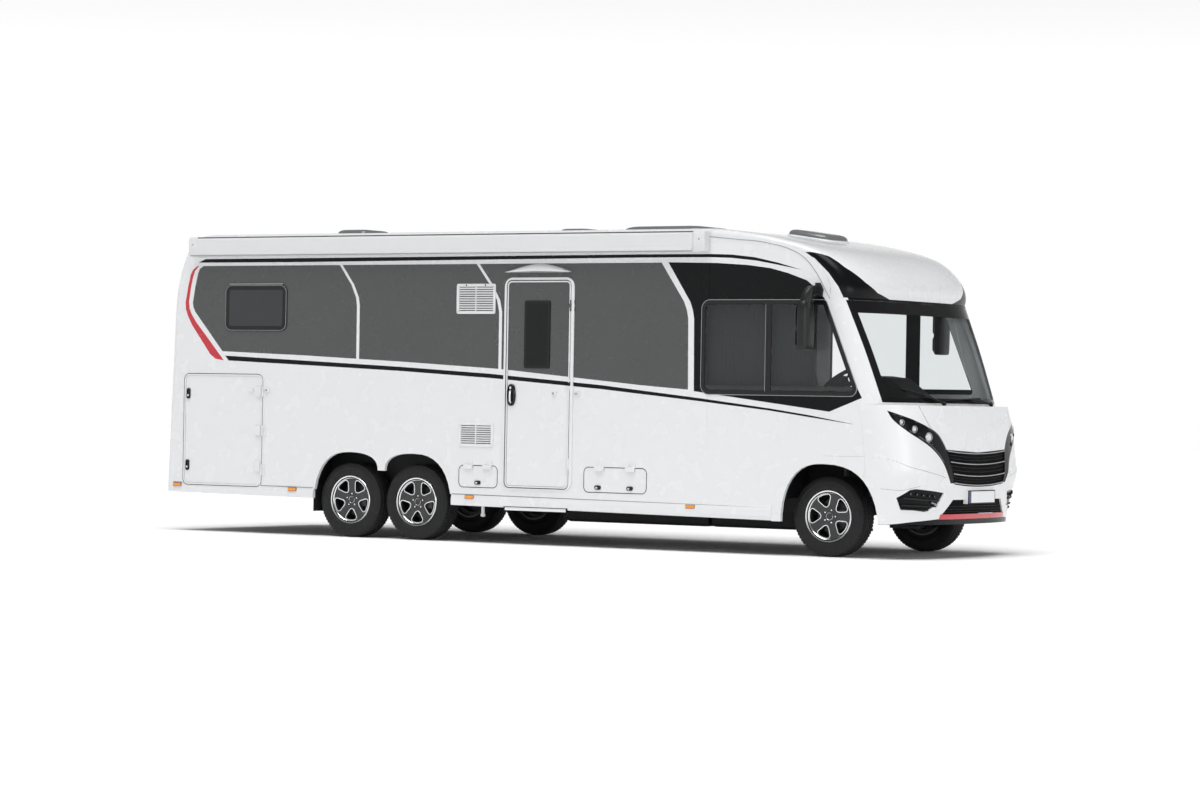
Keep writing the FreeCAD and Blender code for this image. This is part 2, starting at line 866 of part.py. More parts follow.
def garage_hinges():
    height = garage_z[1] - garage_z[0]
    zs = [garage_z[0] + share * height for share in garage_hinge_shares]
    return upright_hinges(garage_x[1] + door_gap / 2, zs)


def hatch_hinges(xs, zs):
    width = xs[1] - xs[0]
    return level_hinges(zs[1] + door_gap / 2, [xs[0] + share * width for share in hatch_hinge_shares])


def window_opening(xs, zs):
    ys = (-half_width - overrun, -half_width + wall + overrun)
    radius = window_corner_radius - frame_lap
    return rounded_y((xs[0] + frame_lap, xs[1] - frame_lap), (zs[0] + frame_lap, zs[1] - frame_lap),
                     radius, ys)


def window_pane(xs, zs):
    return rounded_y(xs, zs, window_corner_radius, (-half_width - window_proud, -half_width))


def hull_shell():
    return rounded_hull().cut(hull(wall))


def below_roof(shell):
    """The shell up to where the roof starts."""
    ys = (-half_width - overrun, half_width + overrun)
    return shell.common(box((-half_length - overrun, cab_x), ys, (sill_z - overrun, wall_top_z)))


def side_slab(shell):
    """Right side of the shell, forward of the rounded rear corner."""
    moved = hull(0)
    moved.translate(vec(rear_corner, 0, 0))
    slab = box((-half_length, cab_x), (-half_width, -half_width + wall), (sill_z - overrun, wall_top_z))
    return largest(shell.common(slab).common(moved))


def build_right_side_wall(side):
    cuts = [opening(door_x, door_z, door_corner), opening(garage_x, garage_z, garage_corner),
            opening(small_hatch_x, small_hatch_z, hatch_corner),
            opening(large_hatch_x, large_hatch_z, hatch_corner),
            window_opening(bed_window_x, bed_window_z), cab_window_cut()]
    for cut in cuts:
        side = side.cut(cut)
    leaves = entrance_hinges()[0] + garage_hinges()[0]
    leaves += hatch_hinges(small_hatch_x, small_hatch_z)[0]
    leaves += hatch_hinges(large_hatch_x, large_hatch_z)[0]
    write("right_side_wall", [fused([largest(side)] + leaves)])


def build_left_side_wall(side):
    cuts = [opening(garage_x, garage_z, garage_corner), cab_window_cut()]
    cuts += [window_opening(xs, left_window_z) for xs in left_window_xs]
    for cut in cuts:
        side = side.cut(cut)
    write("left_side_wall", [mirrored(fused([largest(side)] + garage_hinges()[0]))])


def build_rear_wall(shell, slab):
    rear = shell.cut(slab).cut(mirrored(slab))
    write("rear_wall", [largest(rear)])


def build_roof_panel(shell):
    above = box((-half_length, cab_x), (-half_width - overrun, half_width + overrun),
                (wall_top_z, roof_z + overrun))
    write("roof_panel", [shell.common(above)])


def cab_window_outline():
    """Corners of the cab window in side view: rear foot, front foot, front head, rear head."""
    low = bonnet_top_z + cab_window_rise
    high = screen_top_z - cab_window_top
    rear = cab_x - cab_window_rear
    return [(rear, low), (half_length - cab_window_foot_back, low),
            (half_length - cab_window_head_back, high), (rear, high)]


def cab_window_prism(ys, lap):
    """The cab window with rounded corners, smaller all round by a lap."""
    corners = [vec(x, min(ys), z) for x, z in cab_window_outline()]
    outline = Part.makePolygon(corners + corners[:1])
    if lap:
        outline = outline.makeOffset2D(-lap)
    face = Part.Face(outline)
    prism = face.extrude(vec(0, abs(ys[1] - ys[0]), 0))
    edges = [e for e in prism.Edges if abs(e.tangentAt(e.FirstParameter).y) > aligned_share]
    return prism.makeFillet(cab_window_radius - lap, edges)


def cab_window_cut():
    return cab_window_prism((-half_width - overrun, -half_width + wall + overrun), cab_window_lap)


def cab_side(arches, cap):
    """Flat side of the cab, from the living body to where the nose starts to curve."""
    starts = [(reach - corner - panel_gap, z) for z, reach, corner, power in nose_levels()]
    screen = [(reach - corner - panel_gap, z) for z, reach, corner, power in screen_levels()]
    low = [(cab_x, sill_z), (front_arch_feet[0] - skirt_end, sill_z),
           (front_arch_feet[0] - skirt_end, bumper_bottom_z)]
    top = cap_edge()
    side = prism_y(low + starts + screen + top[1:], (-half_width, -half_width + wall))
    side = side.cut(arches).cut(cap).cut(cab_window_cut()).cut(bumper_block())
    return without_slivers(side)


def bumper_block():
    return region_x(bumper_outline(), True).common(
        box((front_arch_top[0], nose_x + overrun), (-half_width - overrun, half_width + overrun),
            (bumper_bottom_z - overrun, bonnet_top_z)))


def build_cab(arches):
    cap = panel(cap_rows(0), cap_rows(wall))
    side = cab_side(arches, cap)
    write("cab_roof_cap", [cap])
    write("right_cab_panel", side)
    write("left_cab_panel", [mirrored(piece) for piece in side])
    return side


def screen_region(fit):
    low = bonnet_top_z + screen_strip + fit
    high = screen_top_z - screen_strip - fit
    points = [(half_width - screen_foot_inset - fit, low), (half_width - screen_head_inset - fit, high)]
    return region_x([(0, low)] + points + [(0, high)], True)


def build_windscreen():
    frame = screen_panel(nose_shell).cut(screen_region(0))
    for cut in both_sides(cab_window_cut()):
        frame = frame.cut(cut)
    pane = screen_panel(glass).common(screen_region(screen_fit))
    write("windscreen_frame", [frame])
    write("windscreen", [pane])


def sagged_strip(middle_z, half, height):
    steps = range(plan_step_count + 1)
    spread = [(2 * step / plan_step_count - 1) for step in steps]
    curve = [(s * half, middle_z - grille_sag * (1 - s * s)) for s in spread]
    low = [(y, z - height / 2) for y, z in curve]
    high = [(y, z + height / 2) for y, z in reversed(curve)]
    return prism_x(low + high, (cab_x, nose_x + overrun))


def build_grille():
    back = nose_panel(grille_inset, nose_shell).common(region_x(grille_outline(), True))
    face = nose_panel(0, nose_shell).common(region_x(grille_outline(), True))
    top, foot = grille_corners()[:2]
    bars = []
    for share in grille_bar_shares:
        z = foot[1] + share * (top[1] - foot[1])
        bars.append(face.common(sagged_strip(z, top[0] + overrun, grille_bar)))
    intake = nose_panel(grille_inset, nose_shell).common(intake_region())
    write("grille", [fused([back] + bars), intake.cut(plate_plinth())])


def intake_region():
    top, foot = front_points(intake_shares)
    points = [(0, top[1]), top, foot, (0, foot[1])]
    return region_x(points, True)


def plate_plinth():
    half = plate_length / 2 + plate_border
    tall = plate_height / 2 + plate_border
    return box((nose_x - nose_shell, half_length - plate), (-half, half), (plate_z - tall, plate_z + tall))


def bar_region():
    half = bar_share * half_width
    low, high = (bumper_bottom_z + share * nose_height for share in bar_height_shares)
    return prism_x([(-half, low), (half, low), (half, high), (-half, high)], (cab_x, nose_x + overrun))


def build_front(side, arches):
    whole = nose_panel(0, nose_shell)
    bonnet_zone = region_x(bonnet_outline(), True)
    lamp_zones = [region_x(lamp_outline()), mirrored(region_x(lamp_outline()))]
    fog_zone = region_x(front_points(fog_shares))
    fog_zones = [fog_zone, mirrored(fog_zone)]
    bumper_zone = region_x(bumper_outline(), True)
    fender = whole.cut(bonnet_zone).cut(bumper_zone).cut(arches)
    for zone in lamp_zones:
        fender = fender.cut(zone)
    fender = fender.cut(region_x(grille_outline(), True))
    write("front_fenders", [solid for solid in fender.Solids if solid.Volume > overrun ** 3])
    lamps = [whole.common(zone) for zone in lamp_zones]
    fogs = [nose_panel(fog_inset, nose_shell).common(zone) for zone in fog_zones]
    write("front_lamps", lamps + fogs)
    bumper = whole.common(bumper_zone).cut(arches)
    ends = [bumper_end(arches), mirrored(bumper_end(arches))]
    for zone in fog_zones + [intake_region(), bar_region()]:
        bumper = bumper.cut(zone)
    write("front_bumper", [fused([largest(bumper), plate_plinth()])] + ends)
    write("bumper_bar", [nose_panel(-bar_proud, nose_shell).common(bar_region())])
    build_bonnet(whole, bonnet_zone)


def bumper_end(arches):
    """Flat end of the bumper behind the curved corner, up to the wheel arch."""
    starts = [(reach - corner - panel_gap, z) for z, reach, corner, power in nose_levels()]
    front = [(x, z) for x, z in starts if z <= front_points(bumper_seam_shares)[0][1]]
    points = [(front_arch_top[0], bumper_bottom_z)] + front + [(front_arch_top[0], front[-1][1])]
    end = prism_y(points, (-half_width, -half_width + nose_shell))
    return end.common(bumper_block()).cut(arches)


def build_bonnet(whole, zone):
    outline = bonnet_outline()
    full = outline + [(-y, z) for y, z in reversed(outline) if y > 0]
    corners = [vec(cab_x, y, z) for y, z in full]
    face = Part.Face(Part.makePolygon(corners + corners[:1])).makeOffset2D(-bonnet_gap)
    shrunk = face.extrude(vec(nose_x, 0, 0))
    lid = whole.common(shrunk)
    arms = []
    for side in (-1, 1):
        y = side * bonnet_arm_y
        arms.append(bonnet_arm_plate(y))
    write("bonnet", [fused([lid] + arms)])


def bonnet_arm_plate(y):
    ys = (y - bonnet_arm / 2, y + bonnet_arm / 2)
    inner_x = nose_x - nose_lean * nose_lean_shares[-2] - nose_shell / 2
    points = [(bonnet_axis_x - bonnet_boss, bonnet_axis_z), (bonnet_elbow_x - bonnet_boss, bonnet_elbow_z),
              (bonnet_elbow_x, bonnet_elbow_z - bonnet_boss), (inner_x, bonnet_elbow_z - bonnet_boss),
              (inner_x, bonnet_elbow_z + bonnet_boss),
              (bonnet_elbow_x + bonnet_boss, bonnet_elbow_z + bonnet_boss),
              (bonnet_axis_x + bonnet_boss, bonnet_axis_z)]
    plate_shape = prism_y(points, ys)
    boss = cylinder_y(bonnet_axis_x, bonnet_axis_z, bonnet_boss, ys)
    hole = cylinder_y(bonnet_axis_x, bonnet_axis_z, bonnet_pin + pin_clearance, (ys[0] - wall, ys[1] + wall))
    return plate_shape.fuse(boss).cut(hole)


def build_scuttle(side):
    top = nose_levels()[-1]
    base = screen_levels()[0]
    outer = [(p.x, p.y) for p in spread(plan_points(top[1], top[2], top[3], nose_shell + seat_gap))]
    inner = [(p.x, p.y) for p in spread(plan_points(base[1], base[2], base[3], nose_shell + wall))]
    plate_shape = prism_z(outer + inner[::-1], (bonnet_top_z - scuttle, bonnet_top_z))
    notch = nose_panel(0, nose_shell + scuttle_gap).common(region_x(bonnet_outline(), True))
    for solid in [notch] + side + [mirrored(piece) for piece in side]:
        plate_shape = plate_shape.cut(solid)
    pieces = [largest(plate_shape)]
    for side in (-1, 1):
        y = side * (bonnet_arm_y + bonnet_arm + seat_gap)
        ys = (y - bonnet_arm / 2, y + bonnet_arm / 2)
        lug = box((bonnet_axis_x - bonnet_boss, bonnet_axis_x + bonnet_boss), ys,
                  (bonnet_axis_z - bonnet_boss, bonnet_top_z - scuttle))
        inner_y = side * (bonnet_arm_y - bonnet_arm / 2)
        pin = cylinder_y(bonnet_axis_x, bonnet_axis_z, bonnet_pin, (inner_y, y))
        pieces += [lug, pin]
    write("scuttle_panel", [fused(pieces)])


def build_number_plates():
    half = plate_length / 2
    zs = (plate_z - plate_height / 2, plate_z + plate_height / 2)
    write("number_plate", [box((half_length - plate, half_length), (-half, half), zs)])


def tyre_solid(x, y):
    """Tyre turned about the wheel's axle, with rounded shoulders and a bead on the rim."""
    half = tyre_width / 2
    points = [(bead_radius, -rim_depth), (bead_radius, rim_depth), (rim_radius + rim_flange, rim_depth),
              (tyre_radius - tyre_shoulder * 2, half), (tyre_radius - tyre_shoulder, half),
              (tyre_radius, half - tyre_shoulder), (tyre_radius, tyre_shoulder - half),
              (tyre_radius - tyre_shoulder, -half), (tyre_radius - tyre_shoulder * 2, -half),
              (rim_radius + rim_flange, -rim_depth)]
    return turned(points, x, y)


def turned(points, x, y):
    corners = [vec(x + radius, y + across, tyre_radius) for radius, across in points]
    face = Part.Face(Part.makePolygon(corners + corners[:1]))
    return face.revolve(vec(x, y, tyre_radius), vec(0, 1, 0), full_turn_angle)


def rim_solid(x, y, side):
    """Rim with five windows, hub and brake disc. side is -1 on the right."""
    barrel = turned([(bead_radius - rim_barrel, -rim_depth), (bead_radius, -rim_depth),
                     (bead_radius, rim_depth), (bead_radius - rim_barrel, rim_depth)], x, y)
    flange = turned([(bead_radius - rim_barrel, side * rim_depth), (rim_radius, side * rim_depth),
                     (rim_radius, side * (rim_depth + rim_flange)),
                     (bead_radius - rim_barrel, side * (rim_depth + rim_flange))], x, y)
    face = turned([(0, side * (spoke_face - spoke)), (0, side * spoke_face),
                   (bead_radius - rim_barrel / 2, side * spoke_face),
                   (bead_radius - rim_barrel / 2, side * (spoke_face - spoke))], x, y)
    for index in range(spoke_windows):
        face = face.cut(rim_window(x, y, full_turn_angle * index / spoke_windows))
    hub = cylinder_y(x, tyre_radius, hub_radius, (y - side * hub_back, y + side * (spoke_face - spoke / 2)))
    brake = cylinder_y(x, tyre_radius, disc_radius, (y - side * hub_back, y + side * (disc - hub_back)))
    bore = cylinder_y(x, tyre_radius, stub_radius + pin_clearance,
                      (y - side * (hub_back + overrun), y + side * stub_hole_end))
    return fused([barrel, flange, face, hub, brake]).cut(bore)


def rim_window(x, y, turn):
    points = [(-window_inner_half, -window_inner), (-window_outer_half, -window_outer),
              (window_outer_half, -window_outer), (window_inner_half, -window_inner)]
    cut = prism_y([(x + a, tyre_radius + b) for a, b in points], (y - rim_radius, y + rim_radius))
    edges = [e for e in cut.Edges if abs(e.tangentAt(e.FirstParameter).y) > aligned_share]
    cut = cut.makeFillet(window_corner, edges)
    cut.rotate(vec(x, y, tyre_radius), vec(0, 1, 0), turn)
    return cut


def wheel_places():
    return (("front", front_axle_x, front_track), ("middle", middle_axle_x, rear_track),
            ("rear", rear_axle_x, rear_track))


def build_wheels():
    for end, x, track in wheel_places():
        for side_name, side in (("right", -1), ("left", 1)):
            y = side * track / 2
            write("%s_%s_tyre" % (end, side_name), [tyre_solid(x, y)])
            write("%s_%s_rim" % (end, side_name), [rim_solid(x, y, side)])


def build_rear_axles():
    """Tube, trailing arms and stub axles of both rear axles."""
    axles = []
    for x in (rear_axle_x, middle_axle_x):
        wheel_y = rear_track / 2
        arm_y = wheel_y - rim_depth - arm_gap
        tube = cylinder_y(x + axle_ahead, axle_tube_z, axle_tube, (-arm_y, arm_y))
        pieces = [tube]
        for side in (-1, 1):
            ys = (side * (arm_y - arm), side * arm_y)
            pieces.append(cylinder_y(x, tyre_radius, axle_tube, ys))
            pieces.append(cylinder_y(x + axle_ahead, axle_tube_z, axle_tube * axle_boss_share, ys))
            run = [(x, tyre_radius - axle_tube * axle_arm_share), (x + axle_ahead, axle_tube_z - axle_tube),
                   (x + axle_ahead, axle_tube_z + axle_tube), (x, tyre_radius + axle_tube * axle_arm_share)]
            pieces.append(prism_y(run, ys))
            stub = (side * (arm_y - arm), side * (wheel_y + stub_end))
            pieces.append(cylinder_y(x, tyre_radius, stub_radius, stub))
        axles.append(fused(pieces).cut(rails_block()))
    write("rear_axles", axles)


def rails_block():
    bars = []
    for side in (-1, 1):
        bars.append(box((rail_rear_x, rail_front_x), (side * rail_half, side * (rail_half - rail)),
                        (rail_low_z, floor_low_z)))
    return bars[0].fuse(bars[1])


def build_chassis():
    rails = rails_block()
    ys = (-rail_half + rail / 2, rail_half - rail / 2)
    xs = [rail_rear_x + share * (rail_front_x - rail_rear_x) for share in cross_shares]
    cross = [box((x, x + cross_depth), ys, (cross_low_z, floor_low_z)) for x in xs]
    frame = fused([rails] + cross)
    for x in (rail_rear_x + tow_hole_run, rail_rear_x + tow_hole_run + tow_hole_spacing_x):
        for z in (tow_hole_z - tow_hole_spacing_z / 2, tow_hole_z + tow_hole_spacing_z / 2):
            frame = frame.cut(cylinder_y(x, z, tow_hole_radius, (-rail_half - overrun, rail_half + overrun)))
    write("chassis_frame", [frame])


def kingpin_y():
    return front_track / 2 - kingpin_inset


def front_arm(z):
    """Flat arm from the chassis rail out to the kingpin, on the right side."""
    x = front_axle_x
    root = -rail_half
    tip = -kingpin_y()
    points = [(x - wishbone_root_half, root), (x + wishbone_root_half, root), (x + wishbone_half, tip),
              (x - wishbone_half, tip)]
    plate_shape = prism_z(points, (z - wishbone / 2, z + wishbone / 2))
    eye = cylinder_z(x, tip, wishbone_half, (z - wishbone / 2, z + wishbone / 2))
    return plate_shape.fuse(eye)


def build_suspension():
    low = knuckle_low_z - seat_gap - wishbone / 2
    high = knuckle_high_z + seat_gap + wishbone / 2
    x = front_axle_x
    tip = -kingpin_y()
    lower = front_arm(low)
    upper = front_arm(high)
    pin = wishbone * 2
    lower_pin = cylinder_z(x, tip, kingpin_radius, (low, low + pin))
    upper_pin = cylinder_z(x, tip, kingpin_radius, (high - pin, high))
    strut = cylinder_z(x, tip + strut_inset, strut_radius, (high, liner_top_z))
    pieces = [fused([lower, lower_pin]), fused([upper, upper_pin, strut])]
    write("front_suspension", pieces + [mirrored(p) for p in pieces])


def build_knuckles():
    x = front_axle_x
    axis = -kingpin_y()
    wheel_y = -front_track / 2
    body = cylinder_z(x, axis, knuckle_radius, (knuckle_low_z, knuckle_high_z))
    stub = cylinder_y(x, tyre_radius, stub_radius, (axis, wheel_y - stub_end))
    flange = cylinder_y(x, tyre_radius, stub_radius * 2, (axis, axis - knuckle_radius - arm / 2))
    depth = wishbone * 2 + seat_gap
    knuckle = fused([body, stub, flange])
    for z in (knuckle_low_z, knuckle_high_z):
        knuckle = knuckle.cut(cylinder_z(x, axis, kingpin_radius + pin_clearance, (z - depth, z + depth)))
    write("knuckle_right", [knuckle])
    write("knuckle_left", [mirrored(knuckle)])


def liner_shell(xs, inner_y, foot_z):
    """Inverted box over a wheel, open below and to the outside, on the right side."""
    outer_y = -half_width + wall + seat_gap
    outer_xs = (xs[0] - liner, xs[1] + liner)
    outer = box(outer_xs, (-inner_y + liner, outer_y), (floor_low_z, liner_top_z + liner))
    inner = box(xs, (-inner_y, outer_y - overrun), (floor_low_z - overrun, liner_top_z))
    shell = outer.cut(inner).cut(nose_panel(0, nose_shell + seat_gap))
    shell = largest(shell)
    window = box((xs[0] - overrun, xs[1] + overrun), (-inner_y, -inner_y + liner * 2),
                 (floor_low_z - overrun, foot_z))
    return shell.cut(window)


def rear_liner_xs():
    return (rear_arch_feet[0] - liner_margin, rear_arch_feet[1] + liner_margin)


def front_liner_xs():
    return (front_arch_feet[0] - liner_margin * 2, front_arch_feet[1] - liner_margin)


def build_housings():
    rear = liner_shell(rear_liner_xs(), rear_liner_inner, floor_low_z)
    front = liner_shell(front_liner_xs(), front_liner_inner, front_liner_foot_z)
    x = rear_liner_xs()[0]
    half = half_width - wall - liner
    mud = box((x, x + flap), (-rear_liner_inner - liner, -half), (flap_low_z, floor_low_z + liner))
    rear = rear.fuse(mud)
    write("wheel_housings", both_sides(rear) + both_sides(front))


def build_floor():
    half = half_width - wall - seat_gap
    xs = (-half_length + wall + rear_lean, dash_x[0])
    slab = box(xs, (-half, half), (floor_low_z, floor_top_z))
    for xs, inner in ((rear_liner_xs(), rear_liner_inner), (front_liner_xs(), front_liner_inner)):
        for side in (-1, 1):
            cut = box((xs[0] - liner, xs[1] + liner), (side * (inner - liner), side * (half + overrun)),
                      (floor_low_z - overrun, floor_top_z + overrun))
            slab = slab.cut(cut)
    write("floor_panel", [largest(slab)])


def build_doors():
    door = leaf_panel(door_x, door_z, door_corner).cut(window_opening(door_window_x, door_window_z))
    write("entrance_door", [fused([door] + entrance_hinges()[1])])
    write("door_window", [window_pane(door_window_x, door_window_z)])
    garage = fused([leaf_panel(garage_x, garage_z, garage_corner)] + garage_hinges()[1])
    write("garage_door_right", [garage])
    write("garage_door_left", [mirrored(garage)])
    for name, xs, zs in (("small_service_hatch", small_hatch_x, small_hatch_z),
                         ("large_service_hatch", large_hatch_x, large_hatch_z)):
        write(name, [fused([leaf_panel(xs, zs, hatch_corner)] + hatch_hinges(xs, zs)[1])])


def build_windows():
    cab = cab_window_prism((-half_width - cab_glass, -half_width), 0)
    pieces = [window_pane(bed_window_x, bed_window_z)]
    pieces += [mirrored(window_pane(xs, left_window_z)) for xs in left_window_xs]
    write("side_windows", pieces + both_sides(cab))


def vent_plate(xs, zs):
    plate_shape = rounded_y(xs, zs, vent_border / 2, (-half_width - vent_proud, -half_width))
    pitch = (zs[1] - zs[0] - 2 * vent_border) / (vent_slats - 1)
    ys = (-half_width - vent_proud - overrun, -half_width - vent_proud + vent_slot_depth)
    for index in range(vent_slats):
        z = zs[0] + vent_border + index * pitch
        slot = box((xs[0] + vent_border, xs[1] - vent_border), ys, (z - vent_slot / 2, z + vent_slot / 2))
        plate_shape = plate_shape.cut(slot)
    return plate_shape


def build_vents():
    write("wall_vents", [vent_plate(vent_x, upper_vent_z), vent_plate(lower_vent_x, lower_vent_z)])


def skirt_profile():
    out = half_width + skirt_bulge
    height = sill_z - bumper_bottom_z
    bulge = [(-out, sill_z - height * share) for share in skirt_bulge_shares]
    low = [(-half_width, bumper_bottom_z), (-half_width + skirt, bumper_bottom_z)]
    return [(-half_width + skirt, sill_z), (-half_width, sill_z)] + bulge + low


def build_skirts():
    rear_x = -half_length + rear_corner
    low = prism_y([(-half_length, bumper_bottom_z - overrun), (cab_x + half_width, bumper_bottom_z - overrun),
                   (cab_x + half_width, bumper_bottom_z), (-half_length, sill_rear_z)],
                  (-half_width - overrun, half_width))
    front_x = front_arch_feet[0] - skirt_end
    rear = prism_x(skirt_profile(), (rear_x, rear_arch_feet[0])).cut(low)
    middle = prism_x(skirt_profile(), (rear_arch_feet[1], front_x)).cut(low)
    notch = box(step_x, (-half_width - overrun, 0), (bumper_bottom_z - overrun, step_notch_z))
    pieces = [rear, middle.cut(notch), mirrored(rear), mirrored(middle)]
    write("side_skirts", pieces)


def build_step():
    """Sliding entrance step in its housing under the door."""
    xs = (step_x[0] + step_clearance, step_x[1] - step_clearance)
    outer_y = -half_width - skirt_bulge
    tray = box(xs, (outer_y, outer_y + step_depth), (step_z, step_z + step_tray))
    write("entrance_step", [tray])
    top = step_z + step_tray + seat_gap
    inner_y = outer_y + step_depth + step_clearance
    skin = step_housing
    outer_y = -half_width + wall + seat_gap
    cover = box(step_x, (outer_y, inner_y + skin), (top, top + skin))
    back = box(step_x, (inner_y, inner_y + skin), (step_z, floor_low_z))
    legs = [box((x - skin / 2, x + skin / 2), (outer_y, inner_y), (top, floor_low_z))
            for x in (step_x[0] + skin, step_x[1] - skin)]
    write("step_housing", [fused([cover, back] + legs)])


def build_rear_end():
    zs = (sill_rear_z, sill_z)
    depth = bumper_rear_depth
    xs = (-half_length, -half_length + rear_corner)
    block = box(xs, (-half_width, half_width), zs)
    edges = [e for e in block.Edges
             if e.BoundBox.ZLength > tolerance and e.BoundBox.XMax < -half_length + tolerance]
    bumper = block.makeFillet(rear_corner * bumper_round_share, edges)
    bumper = bumper.cut(box((xs[0] + depth, xs[1] + overrun), (-half_width + skirt, half_width - skirt),
                            (zs[0] - overrun, zs[1] + overrun)))
    write("rear_bumper", [bumper])
    lamp = box((-half_length, -half_length + overrun + lamp_box), lamp_box_y, lamp_box_z).cut(hull(0))
    write("rear_lamps", both_sides(largest(lamp)))


def build_awning():
    low, high = awning_z
    y0 = -half_width
    y1 = -half_width - awning_depth
    bevel = awning_depth / 4
    profile = [(y0, low + bevel), (y0 - bevel, low), (y1 + bevel, low), (y1, low + bevel * 2),
               (y1, high - bevel), (y1 + bevel, high), (y0, high)]
    case = prism_x(profile, (awning_x[0] - awning_cap / 2, awning_x[1] + awning_cap))
    for x, lean in ((awning_x[0], -awning_cap / 2), (awning_x[1], awning_cap)):
        far = lean / abs(lean) * awning_cap * 2
        wedge = prism_z([(x, y1 - overrun), (x, y1), (x + lean, y0 - bevel), (x + lean, y0 + overrun),
                         (x + lean + far, y0 + overrun), (x + lean + far, y1 - overrun)],
                        (low - overrun, high + overrun))
        case = case.cut(wedge)
    write("awning_case", [largest(case)])


def tapered_box(x, length, half, height, base_z):
    low = [vec(x - length / 2, -half, base_z), vec(x + length / 2, -half, base_z),
           vec(x + length / 2, half, base_z), vec(x - length / 2, half, base_z)]
    taper = hatch_taper
    high = [vec(x - length / 2 + taper, -half + taper, base_z + height),
            vec(x + length / 2 - taper, -half + taper, base_z + height),
            vec(x + length / 2 - taper, half - taper, base_z + height),
            vec(x - length / 2 + taper, half - taper, base_z + height)]
    wires = [Part.makePolygon(points + points[:1]) for points in (low, high)]
    return Part.makeLoft(wires, True, True)


def hatch_box(share, length, half, height):
    return tapered_box(share * body_run - half_length, length, half, height, roof_z)


def build_roof_hatches():
    pieces = [hatch_box(rear_hatch_share, rear_hatch_length, rear_hatch_half, rear_hatch_height),
              hatch_box(middle_hatch_share, middle_hatch_length, middle_hatch_half, middle_hatch_height),
              hatch_box(skylight_share, skylight_length, skylight_half, skylight_height)]
    lifted = panel(raised_rows(front_hatch_height), raised_rows(0))
    zone = rounded_z(front_hatch_x, (-front_hatch_half, front_hatch_half), hatch_taper)
    pieces.append(largest(lifted.common(zone)))
    write("roof_hatches", pieces)


def raised_rows(lift):
    rows = cap_rows(0)
    return [[point + vec(0, 0, lift) for point in row] for row in rows]


def rounded_z(xs, ys, radius):
    block = box(xs, ys, (sill_z, roof_z + overrun * 3))
    edges = [e for e in block.Edges if e.BoundBox.ZLength > overrun]
    return block.makeFillet(radius, edges)


def build_mirrors():
    y0, y1 = mirror_y
    head = box(mirror_x, (-y1, -y0), mirror_z)
    head = head.makeFillet(mirror_corner, head.Edges)
    middle = -(y0 + y1) / 2
    neck_x = sum(mirror_x) / 2
    top = vec(neck_x, middle, mirror_z[1] - mirror_corner)
    elbow = vec(neck_x, middle, mirror_arm_z)
    root = vec(mirror_arm_x, -half_width, mirror_arm_z)
    ball = Part.makeSphere(mirror_arm, elbow)
    arm_shape = [head, rod(top, elbow, mirror_arm), ball, rod(elbow, root, mirror_arm)]
    whole = fused(arm_shape)
    keep = box((cab_x, nose_x), (-half_width, -half_width - mirror_arm_z), (sill_z, roof_z))
    write("mirrors", both_sides(whole.common(keep)))


def screen_foot(across, ahead):
    """Point in plan just ahead of the windscreen's foot."""
    share = abs(across / half_width) ** screen_power_share
    back = screen_base_corner * (1 - (1 - share) ** (1 / screen_power_share))
    return screen_base_x + ahead - back, across


def build_wipers():
    """Two arms with blades that lie along the foot of the windscreen."""
    pieces = []
    z = bonnet_top_z
    for share in wiper_foot_shares:
        start = share * half_width
        length = wiper_length_share * half_width
        ys = [start + length * step / level_count for step in range(level_count + 1)]
        near = [screen_foot(y, wiper) for y in ys]
        far = [screen_foot(y, 2 * wiper) for y in ys]
        blade = prism_z(near + far[::-1], (z + wiper, z + 2 * wiper))
        foot_x = screen_foot(start, wiper * 2)[0]
        foot = box((foot_x - wiper, foot_x + wiper), (start, start + 2 * wiper), (z, z + 2 * wiper))
        pieces.append(blade.fuse(foot))
    write("wipers", pieces)


def steering_axis():
    angle = math.radians(column_angle)
    return vec(-math.cos(angle), 0, math.sin(angle))


def instrument_hood():
    """Rounded hood over the instruments, ahead of the steering wheel."""
    points = [(half_length - back, dash_top_z + rise) for back, rise in zip(hood_backs, hood_rises)]
    hood = prism_y(points, (column_y - hood_half, column_y + hood_half))
    top_edges = [edge for edge in hood.Edges if edge.BoundBox.ZMax > dash_top_z + hood_rises[1] + hood_corner]
    return hood.makeFillet(hood_corner, top_edges)


def build_dashboard():
    mid_x = (dash_x[0] + dash_x[1]) / 2
    points = [(dash_x[0], dash_low_z), (dash_x[0] - skirt, dash_top_z - wall * 3),
              (dash_x[0] + wall * 3, dash_top_z), (dash_x[1], dash_top_z),
              (dash_x[1], dash_top_z - wall), (mid_x, dash_top_z - wall * 2),
              (dash_x[0] + wall * 6, dash_low_z)]
    body = prism_y(points, (-dash_half, dash_half))
    body = largest(body.cut(nose_panel(0, nose_shell + seat_gap)))
    foot = vec(column_x, column_y, column_z)
    axis = steering_axis()
    root = foot - axis * column_length * column_root_share
    column = rod(root, foot + axis * column_length, column_radius)
    shroud = rod(root, foot + axis * column_length * column_root_share, column_radius * 3)
    end_half = (half_width - wall - dash_half - seat_gap)
    posts = [box((dash_x[0] + wall, dash_x[0] + wall * 3), (side * dash_half, side * (dash_half + end_half)),
                 (dash_low_z + wall, dash_top_z - wall * 4)) for side in (-1, 1)]
    legs = [box((dash_x[0] + wall, dash_x[0] + wall * 4), (side * seat_y - wall, side * seat_y + wall),
                (floor_top_z, dash_low_z)) for side in (-1, 1)]
    base = box((dash_x[0] + wall - cross_depth * 2, dash_x[0] + wall * 4), (-seat_y - wall, seat_y + wall),
               (floor_top_z, floor_top_z + seat_gap + wall))
    write("dashboard", [fused([body, column, shroud, base, instrument_hood()] + posts + legs)])


